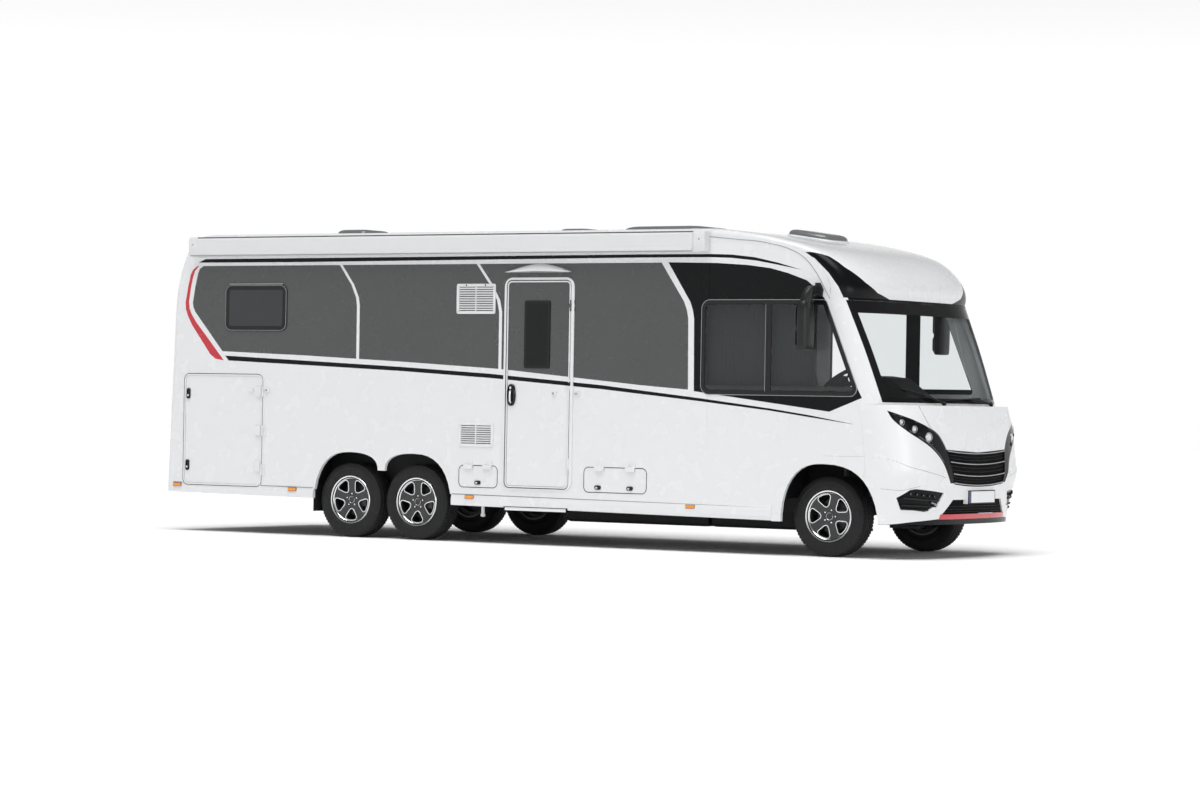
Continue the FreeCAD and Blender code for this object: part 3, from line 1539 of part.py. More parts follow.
def build_steering_wheel():
    foot = vec(column_x, column_y, column_z)
    axis = steering_axis()
    centre = foot + axis * column_length
    ring = Part.makeTorus(steering_radius, steering_rim, centre, axis)
    back = centre - axis * steering_rim * hub_back_share
    hub = Part.makeCylinder(column_radius * 4, steering_rim * 4, back, axis)
    depth = steering_rim * hub_back_share + seat_gap
    bore = Part.makeCylinder(column_radius + pin_clearance, depth, back - axis * seat_gap, axis)
    cross = vec(0, 1, 0)
    up = axis.cross(cross)
    spokes = [rod(centre, centre + way * steering_radius, steering_rim * wheel_spoke_share)
              for way in (cross, -cross, -up)]
    write("steering_wheel", [fused([ring, hub] + spokes).cut(bore)])


def seat_solid(y):
    half = seat_width / 2
    x = seat_x
    depth = seat_depth
    base_half = half - wall * 2
    base = box((x + wall, x + depth - wall), (y - base_half, y + base_half), (floor_top_z, cushion_z))
    pad = box((x, x + depth), (y - half, y + half), (cushion_z, cushion_z + cushion))
    lean = back_height * back_lean_share
    top = cushion_z + cushion + back_height
    middle_z = cushion_z + cushion / 2
    back = prism_y([(x, middle_z), (x + cushion, middle_z), (x + cushion - lean, top), (x - lean, top)],
                   (y - half, y + half))
    neck = cushion * neck_share
    head_top = top + cushion * head_height_share
    head = prism_y([(x - lean, top), (x + neck * 2 - lean, top), (x + neck * 2 - lean, head_top),
                    (x - lean, head_top)], (y - half * head_share, y + half * head_share))
    return fused([base, pad, back, head])


def build_interior():
    write("cab_seats", [seat_solid(-seat_y), seat_solid(seat_y)])
    ys = (-engine_half, engine_half)
    write("engine_block", [box(engine_x, ys, (floor_low_z, floor_low_z + engine_height))])
    tanks = []
    for shares in (waste_tank_shares, fuel_tank_shares):
        xs = [side_bay_x + share * side_bay for share in shares]
        tank = box(xs, (-tank_half, tank_half), (tank_low_z, cross_low_z))
        low_edges = [edge for edge in tank.Edges if edge.BoundBox.ZMax < tank_low_z + overrun / 2]
        tanks.append(tank.makeFillet(tank_corner, low_edges))
    write("underfloor_tank", tanks)


def main():
    os.makedirs("parts", exist_ok=True)
    arches = arch_cutter()
    shell = hull_shell()
    lower = below_roof(shell)
    slab = side_slab(lower)
    side = slab.cut(arches)
    build_right_side_wall(side)
    build_left_side_wall(side)
    build_rear_wall(lower, slab)
    build_roof_panel(shell)
    cab = build_cab(arches)
    build_windscreen()
    build_front(cab, arches)
    build_grille()
    build_scuttle(cab)
    build_number_plates()
    build_wheels()
    build_chassis()
    build_rear_axles()
    build_suspension()
    build_knuckles()
    build_housings()
    build_floor()
    build_doors()
    build_windows()
    build_vents()
    build_skirts()
    build_step()
    build_rear_end()
    build_awning()
    build_roof_hatches()
    build_mirrors()
    build_wipers()
    build_dashboard()
    build_steering_wheel()
    build_interior()


main()
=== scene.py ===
import json
import math

import bmesh
import bpy
from mathutils import Matrix, Vector


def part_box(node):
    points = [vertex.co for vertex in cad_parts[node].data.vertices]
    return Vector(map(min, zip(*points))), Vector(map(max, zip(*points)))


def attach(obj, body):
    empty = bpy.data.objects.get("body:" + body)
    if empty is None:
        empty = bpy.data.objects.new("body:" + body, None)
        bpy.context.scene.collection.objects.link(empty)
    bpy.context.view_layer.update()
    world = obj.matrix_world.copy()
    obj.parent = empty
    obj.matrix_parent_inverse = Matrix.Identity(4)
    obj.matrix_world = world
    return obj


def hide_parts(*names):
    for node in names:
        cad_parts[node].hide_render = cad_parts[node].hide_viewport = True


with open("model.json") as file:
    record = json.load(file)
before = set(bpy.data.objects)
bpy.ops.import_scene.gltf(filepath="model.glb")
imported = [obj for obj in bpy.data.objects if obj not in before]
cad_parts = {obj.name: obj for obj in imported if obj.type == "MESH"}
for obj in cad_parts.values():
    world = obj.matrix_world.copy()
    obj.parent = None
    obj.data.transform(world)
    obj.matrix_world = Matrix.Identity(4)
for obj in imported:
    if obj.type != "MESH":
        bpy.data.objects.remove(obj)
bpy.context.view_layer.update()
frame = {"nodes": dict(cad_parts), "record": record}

nodes = frame["nodes"]
HALF_WIDTH = 1.175
RIGHT, LEFT = -1, 1
SIDES = (("right", RIGHT), ("left", LEFT))

# Camera
CAMERA = Vector((17.938, -28.245, 1.3226))
YAW, PITCH, ROLL = (math.radians(v) for v in (32.227, 0.025, 0.977))
SENSOR = 36.0
FOCAL_SHARE = 3546.43 / 1200.0
VIEW_REACH = 500.0


def linked(name, data):
    obj = bpy.data.objects.new(name, data)
    bpy.context.scene.collection.objects.link(obj)
    return obj


def place_camera():
    """Camera with the photo's place, direction, tilt and focal length."""
    look = Vector((-math.sin(YAW) * math.cos(PITCH), math.cos(YAW) * math.cos(PITCH), math.sin(PITCH)))
    right = look.cross(Vector((0, 0, 1))).normalized()
    up = right.cross(look)
    c, s = math.cos(ROLL), math.sin(ROLL)
    right, up = c * right + s * up, c * up - s * right
    data = bpy.data.cameras.new("camera")
    data.sensor_width = SENSOR
    data.lens = SENSOR * FOCAL_SHARE
    data.clip_end = VIEW_REACH
    cam = linked("camera", data)
    cam.matrix_world = Matrix.Translation(CAMERA) @ Matrix((right, up, -look)).transposed().to_4x4()
    bpy.context.scene.camera = cam


# Light
SKY_LOW, SKY_HIGH, SKY_TOP = 0.1, 0.3, 0.2
TOP_POWER, TOP_SPREAD, TOP_WAY = 2.75, 48, (0.06, -0.3, 1.0)
FILL_POWER, FILL_SPREAD, FILL_WAY = 0.05, 10, (0.53, -0.846, 0.105)
FRONT_POWER, FRONT_SIZE = 300, (8, 4)
FRONT_PLACE, FRONT_AIM = Vector((16, -6, 4)), Vector((3.5, 0, 1.2))


def add_lamp(name, kind, power, way, place=(0, 0, 0)):
    """Lamp at a place; way points from what it lights towards the lamp."""
    data = bpy.data.lights.new(name, kind)
    data.energy = power
    lamp = linked(name, data)
    lamp.location = place
    lamp.rotation_euler = Vector(way).to_track_quat("Z", "Y").to_euler()
    return data


def light_scene():
    """White studio: bright walls all round, a soft light overhead and two weak ones from the front."""
    world = bpy.data.worlds.new("studio")
    world.use_nodes = True
    tree = world.node_tree
    split = tree.nodes.new("ShaderNodeSeparateXYZ")
    tree.links.new(tree.nodes.new("ShaderNodeTexCoord").outputs["Generated"], split.inputs["Vector"])
    fall = tree.nodes.new("ShaderNodeMapRange")
    tree.links.new(split.outputs["Z"], fall.inputs["Value"])
    for name, value in (("From Min", SKY_LOW), ("From Max", SKY_HIGH), ("To Min", 1.0), ("To Max", SKY_TOP)):
        fall.inputs[name].default_value = value
    tree.links.new(fall.outputs["Result"], tree.nodes["Background"].inputs["Strength"])
    tree.nodes["Background"].inputs["Color"].default_value = (1, 1, 1, 1)
    bpy.context.scene.world = world
    add_lamp("overhead", "SUN", TOP_POWER, TOP_WAY).angle = math.radians(TOP_SPREAD)
    add_lamp("fill", "SUN", FILL_POWER, FILL_WAY).angle = math.radians(FILL_SPREAD)
    front = add_lamp("front", "AREA", FRONT_POWER, FRONT_PLACE - FRONT_AIM, FRONT_PLACE)
    front.shape = "RECTANGLE"
    front.size, front.size_y = FRONT_SIZE
    bpy.context.scene.view_settings.view_transform = "Standard"


place_camera()
light_scene()


# Node materials
def is_wire(value):
    return hasattr(value, "is_linked")


class Tree:
    """Short way to write the node tree of one material."""

    def __init__(self, name):
        self.mat = bpy.data.materials.new(name)
        self.mat.use_nodes = True
        self.nodes = self.mat.node_tree.nodes
        self.bsdf = self.nodes["Principled BSDF"]
        self.coord = self.nodes.new("ShaderNodeTexCoord").outputs["Object"]
        self.x, self.y, self.z = self.node("SeparateXYZ", self.coord).outputs

    def link(self, value, socket):
        """Wire an output to a socket, or give the socket a plain value."""
        if is_wire(value):
            self.mat.node_tree.links.new(value, socket)
        else:
            socket.default_value = value

    def set(self, node, values):
        for name, value in values.items():
            self.link(value, node.inputs[name])

    def node(self, kind, *values, **named):
        """New node with inputs given in order or by name."""
        made = self.nodes.new("ShaderNode" + kind)
        self.set(made, {**dict(enumerate(values)), **named})
        return made

    def math(self, operation, *values):
        made = self.node("Math")
        made.operation = operation
        self.set(made, dict(enumerate(values)))
        return made.outputs[0]

    def across(self):
        return self.math("ABSOLUTE", self.y)

    def ranged(self, value, low, high, start, end):
        """Value from low to high taken to start to end, and held beyond."""
        made = self.node("MapRange", value)
        self.set(made, {"From Min": low, "From Max": high, "To Min": start, "To Max": end})
        return made.outputs["Result"]

    def line(self, u, points):
        """Broken line through (u, value) points, flat beyond its ends."""
        total = points[0][1]
        for (u0, v0), (u1, v1) in zip(points, points[1:]):
            total = self.math("ADD", self.ranged(u, u0, u1, 0.0, v1 - v0), total)
        return total

    def less(self, a, b):
        return self.math("LESS_THAN", a, b)

    def both(self, *masks):
        out = masks[0]
        for mask in masks[1:]:
            out = self.math("MULTIPLY", out, mask)
        return out

    def between(self, value, low, high):
        return self.both(self.less(low, value), self.less(value, high))

    def mix(self, mask, *colours):
        made = self.nodes.new("ShaderNodeMix")
        made.data_type = "RGBA"
        self.link(mask, made.inputs["Factor"])
        for name, colour in zip("AB", colours):
            self.link(colour if is_wire(colour) else (*colour, 1), made.inputs[name])
        return made.outputs["Result"]

    def noise(self, scale, detail=4.0):
        return self.node("TexNoise", Vector=self.coord, Scale=scale, Detail=detail).outputs["Fac"]

    def spread(self, scale, low, high):
        """Noise that runs from low to high."""
        return self.ranged(self.noise(scale), 0.3, 0.7, low, high)


PLASTIC_IOR = 1.45
GRAIN_DEPTH = 0.001


def scaled(colour, factor):
    return tuple(c * factor for c in colour)


def shaded(name, colour, rough, metal=0.0, coat=0.0, vary=0.06, scale=9.0, bump=0.0, bump_scale=400.0,
           shine=None):
    """Material with slight colour and gloss variation and a fine surface grain."""
    t = Tree(name)
    if shine is None:
        shine = 0.3 if max(colour) < 0.05 and not metal else 0.5
    t.set(t.bsdf, {"Base Color": t.mix(t.noise(scale), scaled(colour, 1 - vary), scaled(colour, 1 + vary)),
                   "Roughness": t.spread(scale * 3, rough * 0.9, min(rough * 1.12, 1)), "Metallic": metal,
                   "Specular IOR Level": shine, "Coat Weight": coat, "IOR": PLASTIC_IOR})
    if bump:
        grain = t.node("Bump", Strength=bump, Distance=GRAIN_DEPTH, Height=t.noise(bump_scale, 2.0))
        t.link(grain.outputs["Normal"], t.bsdf.inputs["Normal"])
    return t.mat


CLEAR_SHARE = 0.965
PANE_COLOUR = (0.93, 0.945, 0.945, 1)
PRINT_INNER_EDGE = ((1.358, 1.03), (2.238, 1.09))
PRINT_FOOT, PRINT_TOP = 1.4, 2.13


def glass(name, printed):
    """Clear pane that mirrors a little; the windscreen has a black print round its edge."""
    t = Tree(name)
    t.set(t.bsdf, {"Metallic": 1.0, "Base Color": t.mix(t.noise(3.0), (0.86, 0.88, 0.89), (0.92, 0.94, 0.95)),
                   "Roughness": t.spread(12.0, 0.01, 0.03)})
    clear = t.node("BsdfTransparent", Color=PANE_COLOUR).outputs["BSDF"]
    last = t.node("MixShader", CLEAR_SHARE, t.bsdf.outputs["BSDF"], clear).outputs["Shader"]
    if printed:
        inside = t.both(t.less(t.across(), t.line(t.z, PRINT_INNER_EDGE)),
                        t.between(t.z, PRINT_FOOT, PRINT_TOP))
        ink = t.node("BsdfPrincipled")
        t.set(ink, {"Base Color": t.mix(t.noise(5.0), (0.008, 0.008, 0.009), (0.013, 0.013, 0.014)),
                    "Roughness": t.spread(7.0, 0.1, 0.16), "Specular IOR Level": 0.12})
        last = t.node("MixShader", inside, ink.outputs["BSDF"], last).outputs["Shader"]
    t.link(last, t.nodes["Material Output"].inputs["Surface"])
    return t.mat


# Colours and outlines of the livery, whose points pair a height with a length or a width
WHITE = (0.755, 0.762, 0.775)
BAND = (0.052, 0.055, 0.055)
INK = (0.004, 0.0045, 0.005)
LINING = (0.075, 0.075, 0.078)
RED = (0.52, 0.012, 0.028)
BROW_INNER = ((2.256, 0.594), (2.31, 0.808), (2.392, 0.943), (2.527, 1.078), (2.618, 1.115), (2.656, 1.172))
BROW_OUTER = ((2.272, 3.328), (2.35, 3.293), (2.472, 3.197), (2.603, 3.051), (2.656, 2.917))
BROW_TOP = 2.656
VALANCE_EDGE = ((0.6, 0.354), (0.657, 0.351), (0.944, 0.328), (1.102, 0.305))
BAND_TOP = 2.573
BAND_REAR = ((1.747, -3.453), (2.125, -3.793), (2.171, -3.819), (2.218, -3.827), (2.364, -3.803),
             (2.502, -3.768), (2.544, -3.749), (2.572, -3.705))
BAND_FOOT = ((-3.453, 1.747), (-2.514, 1.716), (-1.344, 1.665), (-0.217, 1.606), (1.295, 1.476),
             (1.795, 1.442))
BAND_FRONT = ((1.442, 1.795), (2.074, 1.786), (2.15, 1.77), (2.224, 1.74), (2.575, 1.498))
DIVIDERS = (((1.6, -1.836), (2.19, -1.838), (2.265, -1.85), (2.385, -1.906), (2.58, -2.052)),
            ((1.55, -0.22), (2.13, -0.222), (2.24, -0.247), (2.386, -0.333), (2.58, -0.486)))
DIVIDER_HALF = 0.0165
ZONE_REAR = ((1.429, 1.855), (2.074, 1.846), (2.15, 1.832), (2.224, 1.803), (2.575, 1.57))
ZONE_FRONT = 3.54
ZONE_TOP = ((1.578, 2.575), (2.068, 2.566), (2.38, 2.547), (2.613, 2.518), (2.782, 2.477), (2.981, 2.41),
            (3.1, 2.32), (3.19, 2.215), (3.443, 1.575), (ZONE_FRONT, 1.391))
ZONE_FOOT = ((1.855, 1.429), (3.223, 1.268), (ZONE_FRONT, 1.391))
UPPER_TOP = ((-3.765, 2.606), (-3.682, 2.64), (-1.365, 2.643), (1.272, 2.648), (2.004, 2.646),
             (2.223, 2.639), (2.457, 2.614), (2.689, 2.565), (2.919, 2.504))
UPPER_FOOT = ((-3.765, 2.606), (-2.533, 2.603), (-0.238, 2.613), (1.273, 2.619), (2.004, 2.617),
              (2.223, 2.609), (2.457, 2.586), (2.658, 2.552), (2.919, 2.503))
LOWER_REAR = ((1.6, -3.32), (1.75, -3.462))
LOWER_TOP = ((-3.419, 1.705), (-2.513, 1.667), (-1.343, 1.616), (-0.327, 1.561), (0.872, 1.472),
             (1.934, 1.366), (2.637, 1.287), (3.02, 1.236), (3.459, 1.165))
LOWER_FOOT = ((-3.374, 1.658), (-2.512, 1.625), (-1.343, 1.577), (-0.326, 1.522), (0.873, 1.436),
              (1.935, 1.339), (2.637, 1.268), (3.02, 1.219), (3.459, 1.163))
RED_FOOT = 1.659
RED_OUTER = ((RED_FOOT, -3.433), (1.673, -3.535), (1.719, -3.604), (2.002, -3.835), (2.087, -3.885),
             (2.149, -3.912), (2.218, -3.918), (2.364, -3.891), (2.487, -3.861), (2.537, -3.832),
             (2.573, -3.778))
RED_INNER = ((RED_FOOT, -3.433), (2.033, -3.786), (2.117, -3.848), (2.164, -3.868), (2.233, -3.875),
             (2.364, -3.853), (2.464, -3.83), (2.525, -3.807), (2.572, -3.76))
OUTER_SKIN = 1.15
LINED_HALF, LINED_TOP = 1.1165, 2.7
HEAD_FOOT, HEAD_HALF, HEAD_REAR = 2.226, 1.125, 3.15


def livery_masks(t):
    """Grey band, black areas and red stripe of the side walls."""
    outside = t.less(OUTER_SKIN, t.across())
    band = t.both(t.between(t.z, t.line(t.x, BAND_FOOT), BAND_TOP),
                  t.between(t.x, t.line(t.z, BAND_REAR), t.line(t.z, BAND_FRONT)))
    for divider in DIVIDERS:
        off = t.math("ABSOLUTE", t.math("SUBTRACT", t.x, t.line(t.z, divider)))
        band = t.both(band, t.less(DIVIDER_HALF, off))
    zone = t.both(t.between(t.z, t.line(t.x, ZONE_FOOT), t.line(t.x, ZONE_TOP)),
                  t.between(t.x, t.line(t.z, ZONE_REAR), ZONE_FRONT))
    upper = t.both(t.between(t.z, t.line(t.x, UPPER_FOOT), t.line(t.x, UPPER_TOP)),
                   t.between(t.x, UPPER_TOP[0][0], UPPER_TOP[-1][0]))
    lower = t.both(t.between(t.z, t.line(t.x, LOWER_FOOT), t.line(t.x, LOWER_TOP)),
                   t.between(t.x, t.line(t.z, LOWER_REAR), LOWER_TOP[-1][0]))
    red = t.both(t.between(t.x, t.line(t.z, RED_OUTER), t.line(t.z, RED_INNER)),
                 t.between(t.z, RED_FOOT, BAND_TOP))
    black = t.math("MAXIMUM", t.math("MAXIMUM", zone, upper), lower)
    return [t.both(mask, outside) for mask in (band, black, red)]


def brow_mask(t):
    """Black areas at both lower corners of the cab roof."""
    return t.both(t.less(t.line(t.z, BROW_INNER), t.across()), t.less(t.line(t.z, BROW_OUTER), t.x),
                  t.less(t.z, BROW_TOP))


def valance_mask(t):
    """Black underside of the front bumper."""
    return t.less(t.z, t.line(t.across(), VALANCE_EDGE))


def head_mask(t):
    """Black strip of the windscreen frame above the pane."""
    return t.both(t.less(HEAD_FOOT, t.z), t.less(t.across(), HEAD_HALF), t.less(HEAD_REAR, t.x))


def body_paint(name, livery=False, mark=None, lined=False):
    """White lacquer with the livery or one black mark, and a dark lining on its inner side."""
    t = Tree(name)
    colour = t.mix(t.noise(1.6, 3.0), scaled(WHITE, 0.996), WHITE)
    dark = mark(t) if mark else 0.0
    if lined:
        inside = t.both(t.less(t.across(), LINED_HALF), t.less(t.z, LINED_TOP))
        colour = t.mix(inside, colour, t.mix(t.noise(300.0), scaled(LINING, 0.85), LINING))
    if livery:
        band, black, red = livery_masks(t)
        film = t.mix(t.noise(2.2, 2.0), scaled(BAND, 0.93), scaled(BAND, 1.06))
        colour = t.mix(red, t.mix(band, colour, film), RED)
        dark = t.math("MAXIMUM", dark, black)
    if livery or mark:
        colour = t.mix(dark, colour, INK)
        t.set(t.bsdf, {"Specular IOR Level": t.math("MULTIPLY_ADD", dark, -0.36, 0.5),
                       "Coat Weight": t.math("MULTIPLY_ADD", dark, -0.33, 0.35)})
    t.set(t.bsdf, {"Base Color": colour, "Roughness": t.spread(6.0, 0.26, 0.28), "Coat Roughness": 0.06})
    return t.mat


M = {
    "frame": body_paint("frame_paint", livery=True, mark=head_mask),
    "livery_wall": body_paint("livery_wall_paint", livery=True, lined=True),
    "white": body_paint("white_paint"),
    "cap": body_paint("cab_roof_paint", mark=brow_mask),
    "bumper": body_paint("bumper_paint", mark=valance_mask),
    "screen": glass("screen_glass", True),
    "clear_glass": glass("clear_glass", False),
}


def look(key, *values, **options):
    M[key] = shaded(key, *values, **options)


look("white_plastic", (0.74, 0.75, 0.76), 0.42, vary=0.03, bump=0.06)
look("awning", (0.71, 0.717, 0.725), 0.36, coat=0.2, vary=0.02, bump=0.05)
look("black", (0.018, 0.018, 0.019), 0.55, vary=0.2, bump=0.25)
look("gloss_black", (0.006, 0.006, 0.0065), 0.14, vary=0.2, shine=0.4)
look("rubber", (0.014, 0.014, 0.014), 0.7, vary=0.2, bump=0.2)
look("tyre", (0.016, 0.016, 0.017), 0.62, vary=0.25, bump=0.35, bump_scale=250)
look("steel", (0.022, 0.022, 0.023), 0.5, vary=0.3, bump=0.3)
look("cast", (0.09, 0.09, 0.095), 0.55, metal=0.8, vary=0.2, bump=0.4)
look("alloy_dark", (0.03, 0.03, 0.032), 0.35, metal=0.3, coat=0.4)
look("alloy", (0.78, 0.79, 0.8), 0.2, metal=1.0, vary=0.04, bump=0.08, bump_scale=700)
look("chrome", (0.72, 0.73, 0.74), 0.1, metal=1.0, vary=0.03)
look("red", (0.55, 0.01, 0.025), 0.3, coat=0.6, vary=0.05)
look("floor", (0.05, 0.05, 0.05), 0.7, vary=0.2, bump=0.3)
look("cloth", (0.085, 0.082, 0.08), 0.9, vary=0.18, bump=0.5, bump_scale=900, shine=0.2)
look("cloth_dark", (0.03, 0.029, 0.029), 0.55, vary=0.15, bump=0.4, bump_scale=500, shine=0.3)
look("piping", (0.16, 0.155, 0.15), 0.7, vary=0.1, bump=0.2)
look("leather", (0.02, 0.02, 0.02), 0.5, vary=0.2, bump=0.45, bump_scale=700)
look("blind_cloth", (0.026, 0.029, 0.031), 0.9, vary=0.08, shine=0.1)
look("screen_black", (0.008, 0.009, 0.011), 0.15, vary=0.2, shine=0.25)
look("mesh_black", (0.0035, 0.0035, 0.0035), 0.6, vary=0.3, bump=0.5, bump_scale=260, shine=0.05)
look("bright", (0.5, 0.51, 0.52), 0.3, metal=1.0, vary=0.08, bump=0.05)
look("lens", (0.62, 0.64, 0.66), 0.1, coat=0.6, vary=0.15, scale=40.0)
look("lamp_dark", (0.006, 0.0065, 0.007), 0.2, vary=0.5, scale=30.0, shine=0.14)
# Grey of panel joints, mouldings and marker bases; also painted shade along the crease of the front bumper.
look("joint_grey_and_crease_shade", (0.22, 0.225, 0.23), 0.7, vary=0.08, bump=0.1)
look("blue", (0.02, 0.055, 0.17), 0.35, vary=0.06)
look("horn_black", (0.014, 0.0145, 0.015), 0.34, vary=0.2, bump=0.12, shine=0.35)
look("mirror", (0.8, 0.82, 0.83), 0.03, metal=1.0, vary=0.02)
look("trim_grey", (0.085, 0.088, 0.09), 0.5, vary=0.1, bump=0.1)
look("smoke_dome", (0.15, 0.155, 0.158), 0.16, coat=0.4, vary=0.1)
# Dark sheet behind the vent slats: painted shade of the vent openings.
look("vent_painted_shade", (0.012, 0.012, 0.012), 0.8, vary=0.3, bump=0.2, shine=0.1)
look("plate", (0.78, 0.79, 0.8), 0.35, vary=0.02)
look("tint", (0.012, 0.014, 0.017), 0.08, coat=0.7, vary=0.2)
look("tint_flat", (0.006, 0.0065, 0.007), 0.12, vary=0.2, shine=0.28)
look("lamp_red", (0.45, 0.01, 0.012), 0.15, coat=0.7, vary=0.15)
look("amber", (0.85, 0.28, 0.02), 0.2, coat=0.5, vary=0.1)
look("smoke", (0.1, 0.11, 0.115), 0.15, coat=0.5, vary=0.1)
look("edge_grey", (0.3, 0.31, 0.32), 0.4, vary=0.08, bump=0.05)
look("stage", (0.975, 0.975, 0.975), 1.0, vary=0.004, scale=0.5, shine=0.0)

SLOT = {"body_white": "white", "awning_grey": "awning", "red_trim": "red", "black_plastic": "black",
        "tinted_window": "tint", "screen_glass": "screen", "lamp_clear": "lamp_dark", "alloy": "alloy_dark",
        "floor_wood": "floor", "seat_cloth": "cloth", "plate_white": "plate"}
LIVERY_WALLS = ("right_side_wall", "left_side_wall", "right_cab_panel", "left_cab_panel", "entrance_door",
                "garage_door_right", "garage_door_left")
OWN_LOOK = {"windscreen_frame": "frame", "front_bumper": "bumper", "cab_roof_cap": "cap",
            **dict.fromkeys(LIVERY_WALLS, "livery_wall")}
for part in frame["record"]["subparts"]:
    slot = part["material_slot"]
    surface = nodes[part["node"]].data.materials
    surface.clear()
    surface.append(M[OWN_LOOK.get(part["node"], SLOT.get(slot, slot))])


# Mesh helpers
BOX_FACES = ((0, 1, 3, 2), (4, 6, 7, 5), (0, 4, 5, 1), (2, 3, 7, 6), (0, 2, 6, 4), (1, 5, 7, 3))
AXIS_RADIUS = 1e-5


def steps(low, high, count):
    """Even steps from low to high, both ends included."""
    return [low + (high - low) * k / count for k in range(count + 1)]


def angles(count):
    return [2 * math.pi * k / count for k in range(count)]


def power(value, exponent):
    """Power of a value that keeps its sign."""
    return math.copysign(abs(value) ** exponent, value)


def straight(start, end, count):
    """Points on a straight line, both ends included."""
    return list(zip(*(steps(a, b, count) for a, b in zip(start, end))))


def wall(side):
    """Place on a side wall from length, height and distance out of it."""
    return lambda x, z, out: Vector((x, side * (HALF_WIDTH + out), z))


class Build:
    """One piece: parts with several materials gathered in one mesh."""

    def __init__(self, name):
        self.name = name
        self.bm = bmesh.new()
        self.mats = []

    def slot_of(self, mat):
        if mat not in self.mats:
            self.mats.append(mat)
        return self.mats.index(mat)

    def faces(self, mat, verts, faces):
        made = [self.bm.verts.new(v) for v in verts]
        out = [self.bm.faces.new([made[i] for i in face]) for face in faces]
        for face in out:
            face.material_index = self.slot_of(mat)
        return out

    def flat(self, mat, points):
        self.faces(mat, points, [range(len(points))])

    def box(self, mat, low, high, bevel=0.0, turn=None):
        """Box between two corners; turn is a rotation and the point it turns about."""
        xs, ys, zs = (sorted(pair) for pair in zip(low, high))
        verts = [Vector((x, y, z)) for x in xs for y in ys for z in zs]
        if turn:
            verts = [turn[1] + turn[0] @ (v - turn[1]) for v in verts]
        edges = {edge for face in self.faces(mat, verts, BOX_FACES) for edge in face.edges}
        if bevel:
            bmesh.ops.bevel(self.bm, geom=list(edges), offset=bevel, segments=3, profile=0.6, affect="EDGES",
                            material=self.slot_of(mat))

    def slab(self, mat, place, us, vs, outs, bevel=0.0):
        """Box on a surface, from its ranges along, up and out of it."""
        self.box(mat, place(us[0], vs[0], outs[0]), place(us[1], vs[1], outs[1]), bevel)

    def loops(self, mat, rings, cap=(True, True)):
        """Skin through closed rings of points, each as long as the next."""
        count = len(rings[0])
        quads = []
        for start in range(0, (len(rings) - 1) * count, count):
            for i in range(count):
                j = (i + 1) % count
                quads.append((start + i, start + j, start + count + j, start + count + i))
        if cap[0]:
            quads.append(tuple(reversed(range(count))))
        if cap[1]:
            quads.append(tuple(range((len(rings) - 1) * count, len(rings) * count)))
        self.faces(mat, [p for ring in rings for p in ring], quads)

    def lathe(self, mat, profile, centre, axis, segments=48):
        """Profile of (radius, height) turned about an axis."""
        axis = Vector(axis).normalized()
        side = axis.orthogonal().normalized()
        other = axis.cross(side)
        spokes = [side * math.cos(a) + other * math.sin(a) for a in angles(segments)]
        rings = [[Vector(centre) + axis * height + spoke * max(radius, AXIS_RADIUS) for spoke in spokes]
                 for radius, height in profile]
        self.loops(mat, rings, (False, False))

    def tube(self, mat, points, radius, segments=10):
        """Round bar along points, with one radius or one for each point."""
        points = [Vector(p) for p in points]
        rings = []
        side = None
        for i, p in enumerate(points):
            run = (points[min(i + 1, len(points) - 1)] - points[max(i - 1, 0)]).normalized()
            side = (side - run * side.dot(run)).normalized() if side else run.orthogonal().normalized()
            other = run.cross(side)
            wide = radius[i] if isinstance(radius, (list, tuple)) else radius
            rings.append([p + (side * math.cos(a) + other * math.sin(a)) * wide for a in angles(segments)])
        self.loops(mat, rings)

    def stud(self, mat, outline, place, levels, cap=(True, True)):
        """Raised form over an outline, from (inset, height) levels."""
        self.loops(mat, [[place(u, v, out) for u, v in shrunk(outline, inset)] for inset, out in levels], cap)

    def chamfered(self, mat, outline, deep, chamfer):
        """Outline of points pushed along a vector, with a narrow chamfer on its far face."""
        deep = Vector(deep)
        near = [Vector(p) for p in outline]
        middle = sum(near, Vector()) / len(near)
        way = deep.normalized()
        inner = []
        for i, p in enumerate(near):
            out = ((p - near[i - 1]).normalized() + (near[(i + 1) % len(near)] - p).normalized()).cross(way)
            out.normalize()
            inner.append(p + deep + out * math.copysign(chamfer, (middle - p).dot(out)))
        self.loops(mat, [near, [p + deep - way * chamfer for p in near], inner])

    def band(self, mat, place, outlines, outs):
        """Closed ring between an outer and an inner outline, from one distance out to another."""
        corners = ((0, 0), (0, 1), (1, 1), (1, 0), (0, 0))
        rings = [[place(u, v, outs[level]) for u, v in outlines[line]] for line, level in corners]
        self.loops(mat, rings, (False, False))

    def inset_band(self, mat, place, outline, insets, outs):
        self.band(mat, place, [shrunk(outline, inset) for inset in insets], outs)

    def done(self, body="chassis", replaces=(), angle=32):
        """Make the object, smooth up to an angle in degrees, and let it ride on its body."""
        bmesh.ops.recalc_face_normals(self.bm, faces=self.bm.faces)
        mesh = bpy.data.meshes.new(self.name)
        self.bm.to_mesh(mesh)
        self.bm.free()
        for mat in self.mats:
            mesh.materials.append(M[mat])
        mesh.polygons.foreach_set("use_smooth", [True] * len(mesh.polygons))
        mesh.set_sharp_from_angle(angle=math.radians(angle))
        obj = linked(self.name, mesh)
        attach(obj, body)
        if replaces:
            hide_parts(*replaces)
        return obj


def rounded(x0, x1, z0, z1, radius):
    """Rectangle with round corners as (x, z) points."""
    return round_corners([(x0, z0), (x1, z0), (x1, z1), (x0, z1)], [radius] * 4)


